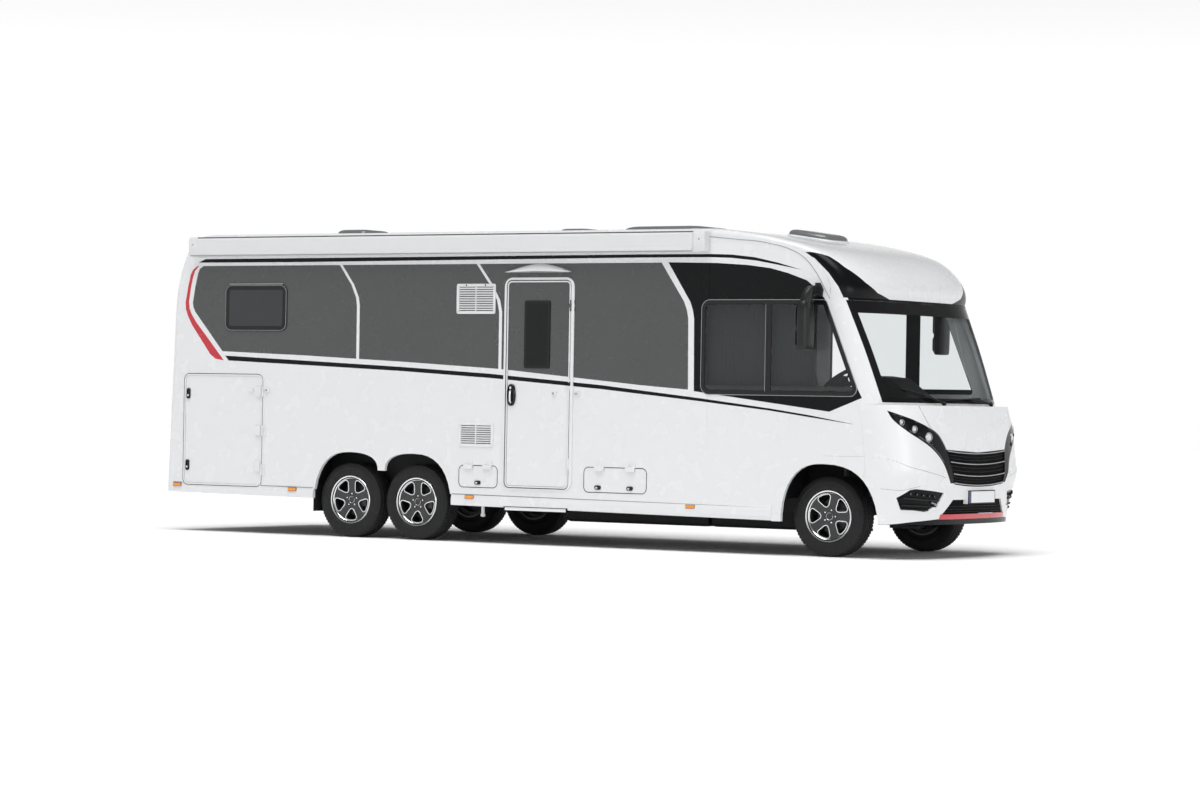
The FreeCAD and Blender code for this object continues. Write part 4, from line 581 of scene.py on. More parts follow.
def round_corners(points, radii, count=6):
    out = []
    for i, (p, radius) in enumerate(zip(points, radii)):
        p = Vector(p)
        a = (Vector(points[i - 1]) - p).normalized()
        b = (Vector(points[(i + 1) % len(points)]) - p).normalized()
        half = math.acos(max(-1, min(1, a.dot(b)))) / 2
        reach = radius / math.tan(half)
        centre = p + (a + b).normalized() * (radius / math.sin(half))
        start = p + a * reach - centre
        sweep = start.angle_signed(p + b * reach - centre)
        for t in steps(0, -sweep, count):
            c, s = math.cos(t), math.sin(t)
            out.append(tuple(centre + Vector((start.x * c - start.y * s, start.x * s + start.y * c))))
    return out


def shrunk(outline, by):
    """The same outline moved inwards by a distance."""
    points = [Vector(p) for p in outline]
    middle = sum(points, Vector((0, 0))) / len(points)
    out = []
    for i, p in enumerate(points):
        run = (p - points[i - 1]).normalized() + (points[(i + 1) % len(points)] - p).normalized()
        way = Vector((-run.y, run.x)).normalized()
        out.append(tuple(p + way * math.copysign(1, way.dot(middle - p)) * by))
    return out


# Shapes of the nose and windscreen
NOSE_LOW, NOSE_TOP, SCREEN_TOP = 0.302, 1.337, 2.259
NOSE_REACH, NOSE_LEAN, NOSE_CORNER = 4.107, 0.107, 0.524
NOSE_PLACES = (0, 0.12, 0.25, 0.38, 0.45, 0.54, 0.66, 0.8, 1)
NOSE_LEANS = (0.44, 0.2, 0.07, 0, 0, 0.14, 0.3, 0.47, 1)
NOSE_CORNERS = (1.145, 1.145, 1.1, 1.03, 1, 0.98, 0.97, 0.96, 0.954)
NOSE_POWERS = (2.7, 2.7, 2.9, 3.2, 3.3, 3.3, 3.3, 3.3, 3.3)
SCREEN_REACHES = (3.874, 3.705, 3.512)
SCREEN_CORNER, SCREEN_CORNER_FALL, SCREEN_POWER = 0.413, 0.11, 3


def eased(places, values, place):
    """Smooth curve through the values given at places."""
    index = max(i for i in range(len(places) - 1) if places[i] <= place + 1e-9)
    slopes = []
    for i in (index, index + 1):
        low, high = max(i - 1, 0), min(i + 1, len(places) - 1)
        slopes.append((values[high] - values[low]) / (places[high] - places[low]))
    span = places[index + 1] - places[index]
    t = (place - places[index]) / span
    start = (1 + 2 * t) * (1 - t) ** 2 * values[index] + t * (1 - t) ** 2 * span * slopes[0]
    return start + t * t * (3 - 2 * t) * values[index + 1] + t * t * (t - 1) * span * slopes[1]


def curved_x(y, reach, corner, roundness):
    side = min(abs(y) / HALF_WIDTH, 1)
    return reach - corner * (1 - (1 - side ** roundness) ** (1 / roundness))


def share_of(z, low, high):
    return min(max((z - low) / (high - low), 0), 1)


def nose_x(y, z):
    """How far forward the nose lies at one place across and one height."""
    lean, corner, roundness = (eased(NOSE_PLACES, values, share_of(z, NOSE_LOW, NOSE_TOP))
                               for values in (NOSE_LEANS, NOSE_CORNERS, NOSE_POWERS))
    return curved_x(y, NOSE_REACH - NOSE_LEAN * lean, NOSE_CORNER * corner, roundness)


def screen_x(y, z):
    """How far forward the windscreen lies at one place across and one height."""
    share = share_of(z, NOSE_TOP, SCREEN_TOP)
    reach = eased((0, 0.5, 1), SCREEN_REACHES, share)
    return curved_x(y, reach, SCREEN_CORNER - SCREEN_CORNER_FALL * share, SCREEN_POWER)


def outward(surface, y, z, step=0.002):
    dy = (surface(y + step, z) - surface(y - step, z)) / (2 * step)
    dz = (surface(y, z + step) - surface(y, z - step)) / (2 * step)
    return Vector((1, -dy, -dz)).normalized()


def on_surface(surface, y, z, out=0.0):
    return Vector((surface(y, z), y, z)) + outward(surface, y, z) * out


def sunk(depth):
    """The nose surface moved back."""
    return lambda y, z: nose_x(y, z) - depth


def draped(build, mat, outline, out, depth, spacing):
    """Panel with a (y, z) outline laid on the nose and cut into a grid so that it follows the curve."""
    bm = bmesh.new()
    bm.faces.new([bm.verts.new((0, y, z)) for y, z in outline])
    for axis, values in enumerate(zip(*outline), 1):
        low, high = min(values), max(values)
        for place in steps(low, high, int((high - low) / spacing) + 1)[1:-1]:
            point, normal = Vector(), Vector()
            point[axis], normal[axis] = place, 1
            bmesh.ops.bisect_plane(bm, geom=bm.verts[:] + bm.edges[:] + bm.faces[:], plane_co=point,
                                   plane_no=normal)
    flat = [v.co.copy() for v in bm.verts]
    bm.verts.index_update()
    polys = [[v.index for v in f.verts] for f in bm.faces]
    rim = [[v.index for v in e.verts] for e in bm.edges if len(e.link_faces) == 1]
    bm.free()
    verts = [on_surface(nose_x, p.y, p.z, level) for level in (out, out - depth) for p in flat]
    count = len(flat)
    build.faces(mat, verts, polys + [[i + count for i in reversed(p)] for p in polys]
                + [[a, b, b + count, a + count] for a, b in rim])


def ribbon(build, mat, points, width, height, surface=nose_x):
    """Bar that follows (y, z) points on a surface, with a half round section."""
    spots = [on_surface(surface, y, z) for y, z in points]
    rings = []
    for i, (y, z) in enumerate(points):
        run = (spots[min(i + 1, len(spots) - 1)] - spots[max(i - 1, 0)]).normalized()
        out = outward(surface, y, z)
        side = run.cross(out).normalized()
        rings.append([spots[i] + side * (math.cos(a) * width / 2) + out * (math.sin(a) * height)
                      for a in steps(0, math.pi, 8)])
    build.loops(mat, rings)


def smoothed(points, count=4):
    """Points on a smooth curve through the given ones."""
    places = [0]
    for (y0, z0), (y1, z1) in zip(points, points[1:]):
        places.append(places[-1] + math.hypot(y1 - y0, z1 - z0))
    result = []
    for low, high in zip(places, places[1:]):
        for place in steps(low, high, count)[:-1]:
            result.append(tuple(eased(places, values, place) for values in zip(*points)))
    return result + [tuple(points[-1])]


def oval_ring(centre, half, roundness=2.6, count=36):
    """Rounded rectangle of points lying flat at one height."""
    exponent = 2 / roundness
    return [Vector((centre[0] + half[0] * power(math.cos(a), exponent),
                    centre[1] + half[1] * power(math.sin(a), exponent), centre[2])) for a in angles(count)]


# Wheels, in metres from the wheel's centre
SIDEWALL = ((0.205, -0.098), (0.226, -0.1), (0.24, -0.104), (0.243, -0.1075), (0.252, -0.1105),
            (0.266, -0.1122), (0.268, -0.1125), (0.271, -0.1122), (0.284, -0.1125), (0.3, -0.1118),
            (0.302, -0.1127), (0.305, -0.1116), (0.318, -0.1092), (0.33, -0.1052), (0.339, -0.0995))
TREAD = ((0.3485, -0.094, "shoulder"), (0.354, -0.068, "shoulder"), (0.346, -0.064, "groove"),
         (0.346, -0.056, "groove"), (0.3548, -0.052, "rib"), (0.355, -0.027, "rib"),
         (0.346, -0.023, "groove"), (0.346, -0.015, "groove"), (0.355, -0.011, "rib"))
TREAD_PITCHES = 68
SHOULDER_CUT, RIB_CUT, RIB_WAVE, WALL_CUT, WALL_CUT_FROM = 0.0065, 0.0015, 0.0022, 0.0012, 0.325
RIM_WINDOW = ((0.088, 0.0), (0.092, 0.012), (0.103, 0.024), (0.128, 0.04), (0.152, 0.056), (0.166, 0.0605),
              (0.178, 0.056), (0.186, 0.044), (0.19, 0.022), (0.1915, 0.0))
WINDOW_EDGE = ((0.0085, 0.0), (0.007, 0.003), (0, 0.0026))
RIM_SPOKES = 5
RIM_FACE_RADIUS, BOLT_RADIUS = 0.199, 0.0565
DISH_DEPTH, DISH_RISE, DISH_FROM, DISH_RUN = 0.078, 0.008, 0.06, 0.13
RIM_TURNS = (("alloy_dark", 72, ((0.193, -0.1), (0.2035, -0.1), (0.2035, -0.09), (0.196, -0.07),
                                 (0.196, 0.07))),
             ("alloy_dark", 72, ((0.196, 0.07), (0.193, 0.066), (0.193, -0.1))),
             ("alloy", 96, ((0.2035, 0.088), (0.2275, 0.0985), (0.2285, 0.104), (0.2255, 0.1075),
                            (0.215, 0.1045), (0.2135, 0.096), (0.201, 0.0862))),
             ("alloy_dark", 96, ((0.2015, 0.0862), (0.1975, 0.082), (0.196, 0.07))),
             ("alloy_dark", 40, ((0.036, 0.077), (0.036, 0.081), (0.0335, 0.0835))),
             ("chrome", 40, ((0.0335, 0.0835), (0.0315, 0.0845), (0.03, 0.0835))),
             ("alloy_dark", 40, ((0.03, 0.0835), (0.018, 0.0825), (0, 0.0822))),
             ("cast", 48, ((0.193, -0.06), (0.15, -0.052), (0.148, 0.018), (0.06, 0.018), (0.06, 0.05),
                           (0, 0.05))))
BOLT_TURNS = (("gloss_black", 18, ((0.013, 0.078), (0.013, 0.0795), (0.0115, 0.0795), (0.0115, 0.07),
                                   (0, 0.07))),
              ("alloy", 6, ((0.0085, 0.07), (0.0085, 0.0805), (0.0065, 0.0825), (0, 0.0825))))


def box_middle(node):
    low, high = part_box(node)
    return (Vector(low) + Vector(high)) / 2


def build_tyre(wheel):
    """Tyre with sidewall rings, four grooves round it and cut shoulders."""
    centre = box_middle(wheel + "_tyre")
    half = [(r, y, "wall") for r, y in SIDEWALL] + list(TREAD)
    rings = []
    for r, y, kind in half + [(r, -y, kind) for r, y, kind in reversed(half)]:
        ring = []
        for k, angle in enumerate(angles(TREAD_PITCHES * 3)):
            drop = shift = 0.0
            if kind == "shoulder" and k % 3 == 0:
                drop = SHOULDER_CUT
            if kind == "rib":
                shift = RIB_WAVE * math.sin(2 * math.pi * k / 6)
                drop = 0.0 if k % 3 else RIB_CUT
            if kind == "wall" and r > WALL_CUT_FROM and k % 6 < 2:
                drop = WALL_CUT
            ring.append(centre + Vector((math.cos(angle) * (r - drop), y + shift,
                                         math.sin(angle) * (r - drop))))
        rings.append(ring)
    build = Build("tyre_" + wheel)
    build.loops("tyre", rings, (False, False))
    build.done(wheel + "_wheel", [wheel + "_tyre"], 38)


def turned(points, turn):
    c, s = math.cos(turn), math.sin(turn)
    return [(r * c - a * s, r * s + a * c) for r, a in points]


def rim_window(turn, grow=0.0):
    """Outline of one window of the rim, turned into place and made larger."""
    points = list(RIM_WINDOW) + [(r, -a) for r, a in reversed(RIM_WINDOW[1:-1])]
    return turned(shrunk(points, -grow) if grow else points, turn)


def rim_cells(windows):
    """Triangles that fill the rim's face between its edge and its windows."""
    face = bmesh.new()
    rim = [(RIM_FACE_RADIUS * math.cos(a), RIM_FACE_RADIUS * math.sin(a)) for a in angles(100)]
    edges = []
    for loop in [rim] + windows:
        verts = [face.verts.new((x, z, 0)) for x, z in loop]
        edges += [face.edges.new((a, b)) for a, b in zip(verts, verts[1:] + verts[:1])]
    bmesh.ops.triangle_fill(face, use_beauty=True, edges=edges)
    face.verts.index_update()
    cells = [[v.index for v in f.verts] for f in face.faces]
    flat = [tuple(v.co.xy) for v in face.verts]
    face.free()
    return flat, cells


def build_rim(wheel, side, first):
    """Cast rim: barrel, lip, face with five windows that have polished edges, cap, bolts, brake."""
    centre = box_middle(wheel + "_tyre")
    build = Build("rim_" + wheel)

    def at(x, z, depth):
        return centre + Vector((x, side * depth, z))

    def dished(outline, rise=0.0):
        """Points of the rim's face, which lies deeper towards its middle."""
        return [at(x, z, DISH_DEPTH + rise + DISH_RISE
                   * share_of(math.hypot(x, z), DISH_FROM, DISH_FROM + DISH_RUN) ** 1.5) for x, z in outline]

    for mat, count, profile in RIM_TURNS:
        build.lathe(mat, profile, centre, (0, side, 0), count)
    turns = [first + angle for angle in angles(RIM_SPOKES)]
    flat, cells = rim_cells([rim_window(turn, WINDOW_EDGE[0][0]) for turn in turns])
    build.faces("alloy_dark", dished(flat), cells)
    for turn in turns:
        edge = [dished(rim_window(turn, grow), rise) for grow, rise in WINDOW_EDGE]
        build.loops("alloy", edge, (False, False))
        build.loops("alloy_dark", [edge[-1], dished(rim_window(turn, -0.004), -0.026)], (False, False))
        (x, z), = turned([(BOLT_RADIUS, 0)], turn + math.pi / RIM_SPOKES)
        for mat, count, profile in BOLT_TURNS:
            build.lathe(mat, profile, at(x, z, 0), (0, side, 0), count)
    build.box("cast", at(0.07, -0.06, 0.02), at(0.145, 0.06, 0.052), 0.006)
    valve = turned([(0.199, 0), (0.185, 0)], first + 0.12)
    build.tube("rubber", [at(*valve[0], 0.078), at(*valve[1], 0.094)], 0.004, 8)
    build.done(wheel + "_wheel", [wheel + "_rim"], 30)


for end, first in (("front", 180), ("middle", 270), ("rear", 270)):
    for side_name, side in SIDES:
        build_tyre("%s_%s" % (end, side_name))
        build_rim("%s_%s" % (end, side_name), side, math.radians(first))


# Cab windows, side windows and doors
CAB_WINDOW = round_corners([(1.924, 1.4), (3.529, 1.4), (3.179, 2.243), (1.924, 2.243)],
                           [0.085, 0.07, 0.045, 0.085])
CAB_BARS = {RIGHT: (2.582, 2.638), LEFT: (2.75, 2.89)}
CAB_BAR_EDGES = {RIGHT: (0, 0.008), LEFT: (-0.002, 0.006)}
CAB_BAR_HEIGHTS = (1.438, 2.205)
SIDE_WINDOWS = ((RIGHT, -3.42, -2.677, 1.943, 2.389), (LEFT, -3.42, -2.677, 1.7, 2.25),
                (LEFT, -0.7, 0.001, 1.7, 2.25), (LEFT, 0.601, 1.699, 1.7, 2.25))


def build_windows():
    """Cab windows with rubber frames and bars, and hinged acrylic windows with a dark edge print."""
    build = Build("cab_windows")
    for side in (RIGHT, LEFT):
        place = wall(side)
        build.inset_band("edge_grey", place, CAB_WINDOW, (0.0, 0.005), (-0.002, 0.0062))
        build.inset_band("gloss_black", place, CAB_WINDOW, (0.005, 0.04), (-0.004, 0.0055))
        build.inset_band("rubber", place, CAB_WINDOW, (0.04, 0.046), (-0.034, 0.003))
        build.flat("clear_glass", [place(x, z, 0.001) for x, z in shrunk(CAB_WINDOW, 0.043)])
        rear, front = CAB_BARS[side]
        build.slab("gloss_black", place, (rear, front), CAB_BAR_HEIGHTS, (-0.002, 0.006))
        build.slab("edge_grey", place, (rear - 0.004, rear), CAB_BAR_HEIGHTS, CAB_BAR_EDGES[side])
        build.slab("gloss_black", place, (1.965, 3.455), (1.437, 1.488), (-0.02, 0), 0.004)
    for side, x0, x1, z0, z1 in SIDE_WINDOWS:
        place = wall(side)
        outer = rounded(x0, x1, z0, z1, 0.075)
        build.inset_band("rubber", place, outer, (0.0, 0.006), (-0.003, 0.007))
        build.inset_band("edge_grey", place, outer, (0.006, 0.01), (-0.003, 0.0125))
        build.inset_band("gloss_black", place, outer, (0.01, 0.05), (-0.003, 0.012))
        build.flat("tint", [place(x, z, 0.0115) for x, z in shrunk(outer, 0.049)])
        build.slab("edge_grey", place, (x0 + 0.05, x1 - 0.05), (z1 + 0.002, z1 + 0.012), (0, 0.014), 0.003)
    build.done(replaces=["side_windows"], angle=30)


DOOR_FRONT = 0.5447
DOOR_PANE = (0.046, 0.326, 1.615, 2.235)
HANDLE_IN, HANDLE_HEIGHT = 0.06, 1.369


def canopy(build, x0, x1, z):
    """Rain canopy over the door: its crown arches and falls back as it stands out."""
    place = wall(RIGHT)
    rings = []
    for out, share in ((0.0, 1.0), (0.038, 0.62), (0.052, 0.22)):
        foot, crown = [], []
        for x, turn in straight((x0, 0), (x1, math.pi), 16):
            arch = math.sin(turn)
            foot.append(place(x, z + 0.006 * arch, out))
            crown.append(place(x, z + 0.006 * arch + (0.004 + 0.066 * arch) * share, out))
        rings.append(foot + crown[::-1])
    build.loops("white", rings)


def build_door_trim():
    """Frame round the entrance door, its own edge, window, handle, catches and the canopy above."""
    low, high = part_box("entrance_door")
    x0, x1, z0, z1 = low[0], DOOR_FRONT, low[2], high[2]
    place = wall(RIGHT)
    surround = Build("door_frame")
    outline = rounded(x0 - 0.028, x1 + 0.04, z0 - 0.018, z1 + 0.03, 0.085)
    inner = rounded(x0 - 0.008, x1 + 0.008, z0 - 0.008, z1 + 0.008, 0.053)
    surround.band("white", place, (outline, inner), (-0.001, 0.009))
    surround.inset_band("rubber", place, inner, (0, 0.007), (-0.02, 0.003))
    canopy(surround, x0 - 0.005, x1 + 0.005, z1 + 0.078)
    surround.slab("edge_grey", place, (x0 + 0.02, x1 - 0.02), (z1 + 0.074, z1 + 0.079), (0.006, 0.048), 0.001)
    surround.slab("white_plastic", place, (0.6, 0.662), (1.375, 1.405), (0, 0.012), 0.004)
    surround.slab("edge_grey", place, (0.61, 0.635), (1.383, 1.397), (0.012, 0.02), 0.002)
    surround.done()

    door = Build("door_fittings")
    leaf = rounded(x0 + 0.001, x1 - 0.001, z0 + 0.001, z1 - 0.001, 0.045)
    door.inset_band("white", place, leaf, (0, 0.013), (-0.001, 0.0045))
    door.inset_band("rubber", place, leaf, (0.013, 0.0155), (-0.001, 0.0015))
    pane = rounded(*DOOR_PANE, 0.022)
    door.inset_band("rubber", place, pane, (0, 0.004), (-0.001, 0.007))
    door.inset_band("gloss_black", place, pane, (0.004, 0.022), (-0.001, 0.0085))
    door.flat("tint_flat", [place(x, z, 0.008) for x, z in shrunk(pane, 0.021)])
    x = x0 + HANDLE_IN
    oval = [(x + 0.046 * power(math.cos(a), 0.75), HANDLE_HEIGHT + 0.1 * power(math.sin(a), 0.8))
            for a in angles(28)]
    door.stud("gloss_black", oval, place, ((0, -0.0005), (0, 0.0115), (0.006, 0.0185), (0.014, 0.0185),
                                           (0.02, 0.0075)))
    grip = ((1.298, 0.01), (1.312, 0.026), (1.36, 0.03), (1.402, 0.026), (1.412, 0.012))
    door.tube("alloy", [place(x, z, out) for z, out in grip], 0.0095, 10)
    door.lathe("alloy", [(0.011, 0.0), (0.011, 0.016), (0.009, 0.018), (0, 0.018)], place(x, 1.434, 0.008),
               (0, RIGHT, 0), 20)
    door.slab("rubber", place, (x - 0.0015, x + 0.0015), (1.429, 1.439), (0.0255, 0.0265))
    door.slab("white_plastic", place, (0.355, 0.408), (1.378, 1.402), (0, 0.012), 0.004)
    door.slab("edge_grey", place, (0.365, 0.385), (1.384, 1.396), (0.012, 0.018), 0.002)
    door.done("entrance_door", ["door_window"])


HATCHES = {"small_service_hatch": (-0.653, -0.232, 0.515, 0.71),
           "large_service_hatch": (0.718, 1.375, 0.505, 0.725)}
HATCH_LOCKS = {"small_service_hatch": (-0.445,), "large_service_hatch": (0.865, 1.205)}


def build_hatch_trim(node):
    """Rubber line, hinge covers and locks of a service hatch."""
    place = wall(RIGHT)
    x0, x1, z0, z1 = HATCHES[node]
    lid = Build(node + "_fittings")
    seal = Build(node + "_frame")
    edge = rounded(x0 - 0.006, x1 + 0.006, z0 - 0.006, z1 + 0.006, 0.05)
    seal.inset_band("rubber", place, edge, (0, 0.0055), (-0.02, 0.0012))
    for x in HATCH_LOCKS[node]:
        spot = rounded(x - 0.034, x + 0.034, z0 + 0.022, z0 + 0.06, 0.017)
        lid.stud("gloss_black", spot, place, ((0, -0.001), (0, 0.006), (0.003, 0.009)))
        lid.lathe("alloy", [(0.011, 0.0), (0.011, 0.013), (0.009, 0.014), (0, 0.014)],
                  place(x - 0.008, z0 + 0.041, 0), (0, RIGHT, 0), 20)
        lid.slab("rubber", place, (x - 0.0095, x - 0.0065), (z0 + 0.035, z0 + 0.047), (0.0138, 0.0146))
    for share in (0.25, 0.75):
        x = x0 + share * (x1 - x0)
        lid.slab("white_plastic", place, (x - 0.048, x + 0.048), (z1 - 0.03, z1 + 0.004), (0.004, 0.019),
                 0.004)
    lid.done(node)
    seal.done()


GARAGE_DOOR = (-3.911, -2.955, 0.452, 1.526)
GARAGE_LOCKS, GARAGE_HINGES = (1.335, 0.64), (0.65, 0.989, 1.365)


def build_garage_trim(node, side):
    """Frame, edge, locks, hinge covers and catch of a garage door."""
    place = wall(side)
    x0, x1, z0, z1 = GARAGE_DOOR
    door = Build(node + "_fittings")
    leaf = rounded(x0 + 0.001, x1 - 0.001, z0 + 0.001, z1 - 0.001, 0.06)
    door.inset_band("white", place, leaf, (0, 0.016), (-0.001, 0.004))
    door.inset_band("edge_grey", place, leaf, (0.016, 0.018), (-0.001, 0.0012))
    for z in GARAGE_LOCKS:
        spot = rounded(x0 + 0.03, x0 + 0.075, z - 0.052, z + 0.052, 0.02)
        door.stud("gloss_black", spot, place, ((0, -0.001), (0, 0.008), (0.004, 0.012), (0.012, 0.012),
                                               (0.014, 0.005)))
        door.lathe("alloy", [(0.01, 0.0), (0.01, 0.013), (0, 0.013)], place(x0 + 0.052, z - 0.018, 0),
                   (0, side, 0), 18)
    for z in GARAGE_HINGES:
        door.slab("white_plastic", place, (x1 - 0.075, x1 - 0.012), (z - 0.05, z + 0.05), (0.004, 0.018),
                  0.004)
    door.slab("white_plastic", place, (x1 - 0.16, x1 - 0.11), (1.362, 1.392), (0, 0.014), 0.004)
    door.done(node)
    surround = Build(node + "_frame")
    edge = rounded(x0 - 0.022, x1 + 0.022, z0 - 0.012, z1 + 0.022, 0.08)
    inner = rounded(x0 - 0.0065, x1 + 0.0065, z0 - 0.0065, z1 + 0.0065, 0.066)
    surround.band("white", place, (edge, inner), (-0.001, 0.0035))
    surround.inset_band("rubber", place, inner, (0, 0.006), (-0.02, 0.0012))
    surround.slab("white_plastic", place, (x1 + 0.035, x1 + 0.085), (1.358, 1.396), (0, 0.016), 0.004)
    surround.slab("edge_grey", place, (x1 + 0.045, x1 + 0.065), (1.368, 1.386), (0, 0.022), 0.003)
    surround.done()


build_windows()
build_door_trim()
for node in HATCHES:
    build_hatch_trim(node)
for side_name, side in SIDES:
    build_garage_trim("garage_door_" + side_name, side)


# Grille, lamps, plate, seams, wipers and mirrors, as (y, z) points on the nose or windscreen
GRILLE_TOP, GRILLE_FOOT = (0.575, 0.95), (0.49, 0.663)
GRILLE_BARS = (0.668, 0.747, 0.851, 0.944)
INTAKE = ((-0.6, 0.392), (0.6, 0.392), (0.47, 0.518), (-0.47, 0.518))
INTAKE_SLATS = ((0.412, 0.57), (0.436, 0.545), (0.46, 0.52))


def arched(half, z, drop=0.0, sag=0.025):
    """Line across the nose that sags in the middle."""
    return [(s * half, z - sag * (1 - s * s) - drop) for s in steps(-1, 1, 16)]


def grille_half(z, inset):
    """Half width of the grille at one height, less an inset."""
    share = (z - GRILLE_FOOT[1]) / (GRILLE_TOP[1] - GRILLE_FOOT[1])
    return GRILLE_FOOT[0] + share * (GRILLE_TOP[0] - GRILLE_FOOT[0]) - inset


def build_grille():
    """Black mesh panel with four bright bars, thin slats and the lower intake."""
    build = Build("front_grille")
    draped(build, "mesh_black", arched(*GRILLE_FOOT) + arched(*GRILLE_TOP)[::-1], -0.012, 0.012, 0.04)
    for z in GRILLE_BARS[::-1]:
        half = grille_half(z, 0.012)
        ribbon(build, "mesh_black", arched(half, z, 0.004), 0.02, -0.012)
        ribbon(build, "mesh_black", arched(half, z, 0.004), 0.02, 0.0015)
        ribbon(build, "bright", arched(half, z), 0.0105, 0.006)
    for low, high in zip(GRILLE_BARS, GRILLE_BARS[1:]):
        for share in (0.34, 0.67):
            z = low + share * (high - low)
            ribbon(build, "black", arched(grille_half(z, 0.014), z), 0.006, 0.006, sunk(0.012))
    draped(build, "mesh_black", INTAKE, -0.014, 0.01, 0.05)
    for z, half in INTAKE_SLATS:
        ribbon(build, "black", straight((-half, z), (half, z), 14), 0.007, 0.007, sunk(0.014))
    build.done(replaces=["grille"])


HEADLAMP_TOP = ((1.113, 1.271), (1.068, 1.251), (0.947, 1.205), (0.798, 1.141), (0.692, 1.093),
                (0.628, 1.023), (0.588, 0.962))
HEADLAMP_FOOT = ((1.084, 1.155), (1.015, 1.091), (0.923, 1.039), (0.808, 0.979), (0.71, 0.9),
                 (0.647, 0.83))
LAMPS = ((1.068, 1.187, 0.021), (0.972, 1.13, 0.026), (0.822, 1.062, 0.036))
SMALL_LAMPS = ((1.04, 1.152, 0.011), (0.93, 1.084, 0.013), (0.775, 1.0, 0.015))
FOG_LIGHTS = ((0.998, 0.574), (0.939, 0.566), (0.875, 0.559), (0.808, 0.553), (0.742, 0.549))
FOG_LIGHT_RADIUS = 0.0085
FOG_LIP = ((1.045, 0.536), (0.98, 0.531), (0.88, 0.523), (0.78, 0.517), (0.68, 0.513))
FOG_SLATS = (((1.045, 0.474), (0.705, 0.462)), ((1.04, 0.44), (0.79, 0.43)))
FOG_WING = ((0.77, 0.497), (0.735, 0.489), (0.7, 0.478), (0.69, 0.47))


def lamp_unit(build, y, z, radius, mat="lens", ring="black"):
    """Round lamp with a raised ring, turned half way from the surface towards the front."""
    spot = on_surface(nose_x, y, z)
    ahead = Vector((1, math.copysign(0.25, y), 0))
    axis = (outward(nose_x, y, z) * 0.55 + ahead * 0.45).normalized()
    build.lathe(ring, [(radius * 1.22, -0.012), (radius * 1.22, 0.003), (radius * 1.1, 0.0055),
                       (radius, 0.004), (radius, -0.006)], spot, axis, 36)
    build.lathe(mat, [(radius * math.cos(a), -0.006 + radius * 0.42 * math.sin(a))
                      for a in steps(0, math.pi / 2, 7)], spot, axis, 36)


def build_lamp_units():
    """Lens units, reflectors and edge lines inside the headlamps and the fog clusters."""
    for name, side in SIDES:
        build = Build("lamp_units_" + name)

        def line(mat, points, width, height, shift=(0, 0)):
            ribbon(build, mat, [(side * (y + shift[0]), z + shift[1]) for y, z in points], width, height)

        for y, z, radius in LAMPS:
            lamp_unit(build, side * y, z, radius, "lens", "bright")
        for y, z, radius in SMALL_LAMPS:
            lamp_unit(build, side * y, z, radius, "smoke")
        line("smoke", HEADLAMP_TOP, 0.005, 0.0012, (-0.004, -0.012))
        line("smoke", HEADLAMP_FOOT, 0.008, 0.0018, (-0.01, 0.016))
        for y, z in FOG_LIGHTS:
            lamp_unit(build, side * y, z, FOG_LIGHT_RADIUS)
        line("black", FOG_LIP, 0.016, 0.007)
        for start, end in FOG_SLATS:
            line("black", straight(start, end, 6), 0.013, 0.009)
        line("edge_grey", FOG_WING, 0.014, 0.006)
        build.done()


BUMPER_SEAM = ((1.17, 0.884), (1.105, 0.839), (1.046, 0.806), (0.906, 0.772), (0.75, 0.739), (0.62, 0.712))
# Points of a grey line of painted shade that stands for the crease above the fog lamps.
FOG_CREASE_SHADE = ((1.16, 0.614), (1.132, 0.607), (1.071, 0.603), (0.99, 0.625), (0.93, 0.64))
BONNET_SEAM = ((0.872, 1.333), (0.788, 1.143))


def build_seams():
    """Panel joints of the nose as thin grey lines, and a grey line of painted shade along the crease above
    the fog lamps.
    """
    build = Build("nose_seams_and_crease_shade")
    for side in (RIGHT, LEFT):
        # The crease gets no fold of its own: its shade is painted on as a flat grey ribbon.
        for points, width in ((smoothed(BUMPER_SEAM), 0.0035), (smoothed(FOG_CREASE_SHADE), 0.003),
                              (straight(*BONNET_SEAM, 8), 0.0045)):
            ribbon(build, "joint_grey_and_crease_shade", [(side * y, z) for y, z in points], width, 0.0005)
    build.done()


PLATE_RIM = 0.005


def build_plate():
    """Blank plate with a blue strip in a dark holder."""
    build = Build("plate_front")
    (_, y0, z0), (x, y1, z1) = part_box("number_plate")

    def place(y, z, out):
        return Vector((x + out, y, z))

    holder = ((y0 - 0.004, z0 - 0.006), (y1 + 0.004, z0 - 0.006), (y1 + 0.004, z1 + 0.004),
              (y0 - 0.004, z1 + 0.004))
    build.loops("black", [[place(y, z, out) for y, z in holder] for out in (-0.004, 0.001)])
    for ys, zs in (((y0, y1), (z0, z0 + PLATE_RIM)), ((y0, y1), (z1 - PLATE_RIM, z1)),
                   ((y0, y0 + PLATE_RIM), (z0, z1)), ((y1 - PLATE_RIM, y1), (z0, z1))):
        build.slab("black", place, ys, zs, (0, 0.0022), 0.0008)
    inside = (z0 + PLATE_RIM, z1 - PLATE_RIM)
    build.slab("plate", place, (y0 + PLATE_RIM, y1 - PLATE_RIM), inside, (0, 0.0014))
    build.slab("blue", place, (y0 + PLATE_RIM, y0 + 0.05), inside, (0.0004, 0.0019))
    build.done()


WIPERS = (((-0.27, 1.35), (-0.6, 1.409), (-0.885, 1.478), (-0.4, 1.387)),
          ((0.74, 1.352), (0.2, 1.392), (-0.24, 1.379), (0.49, 1.401)))


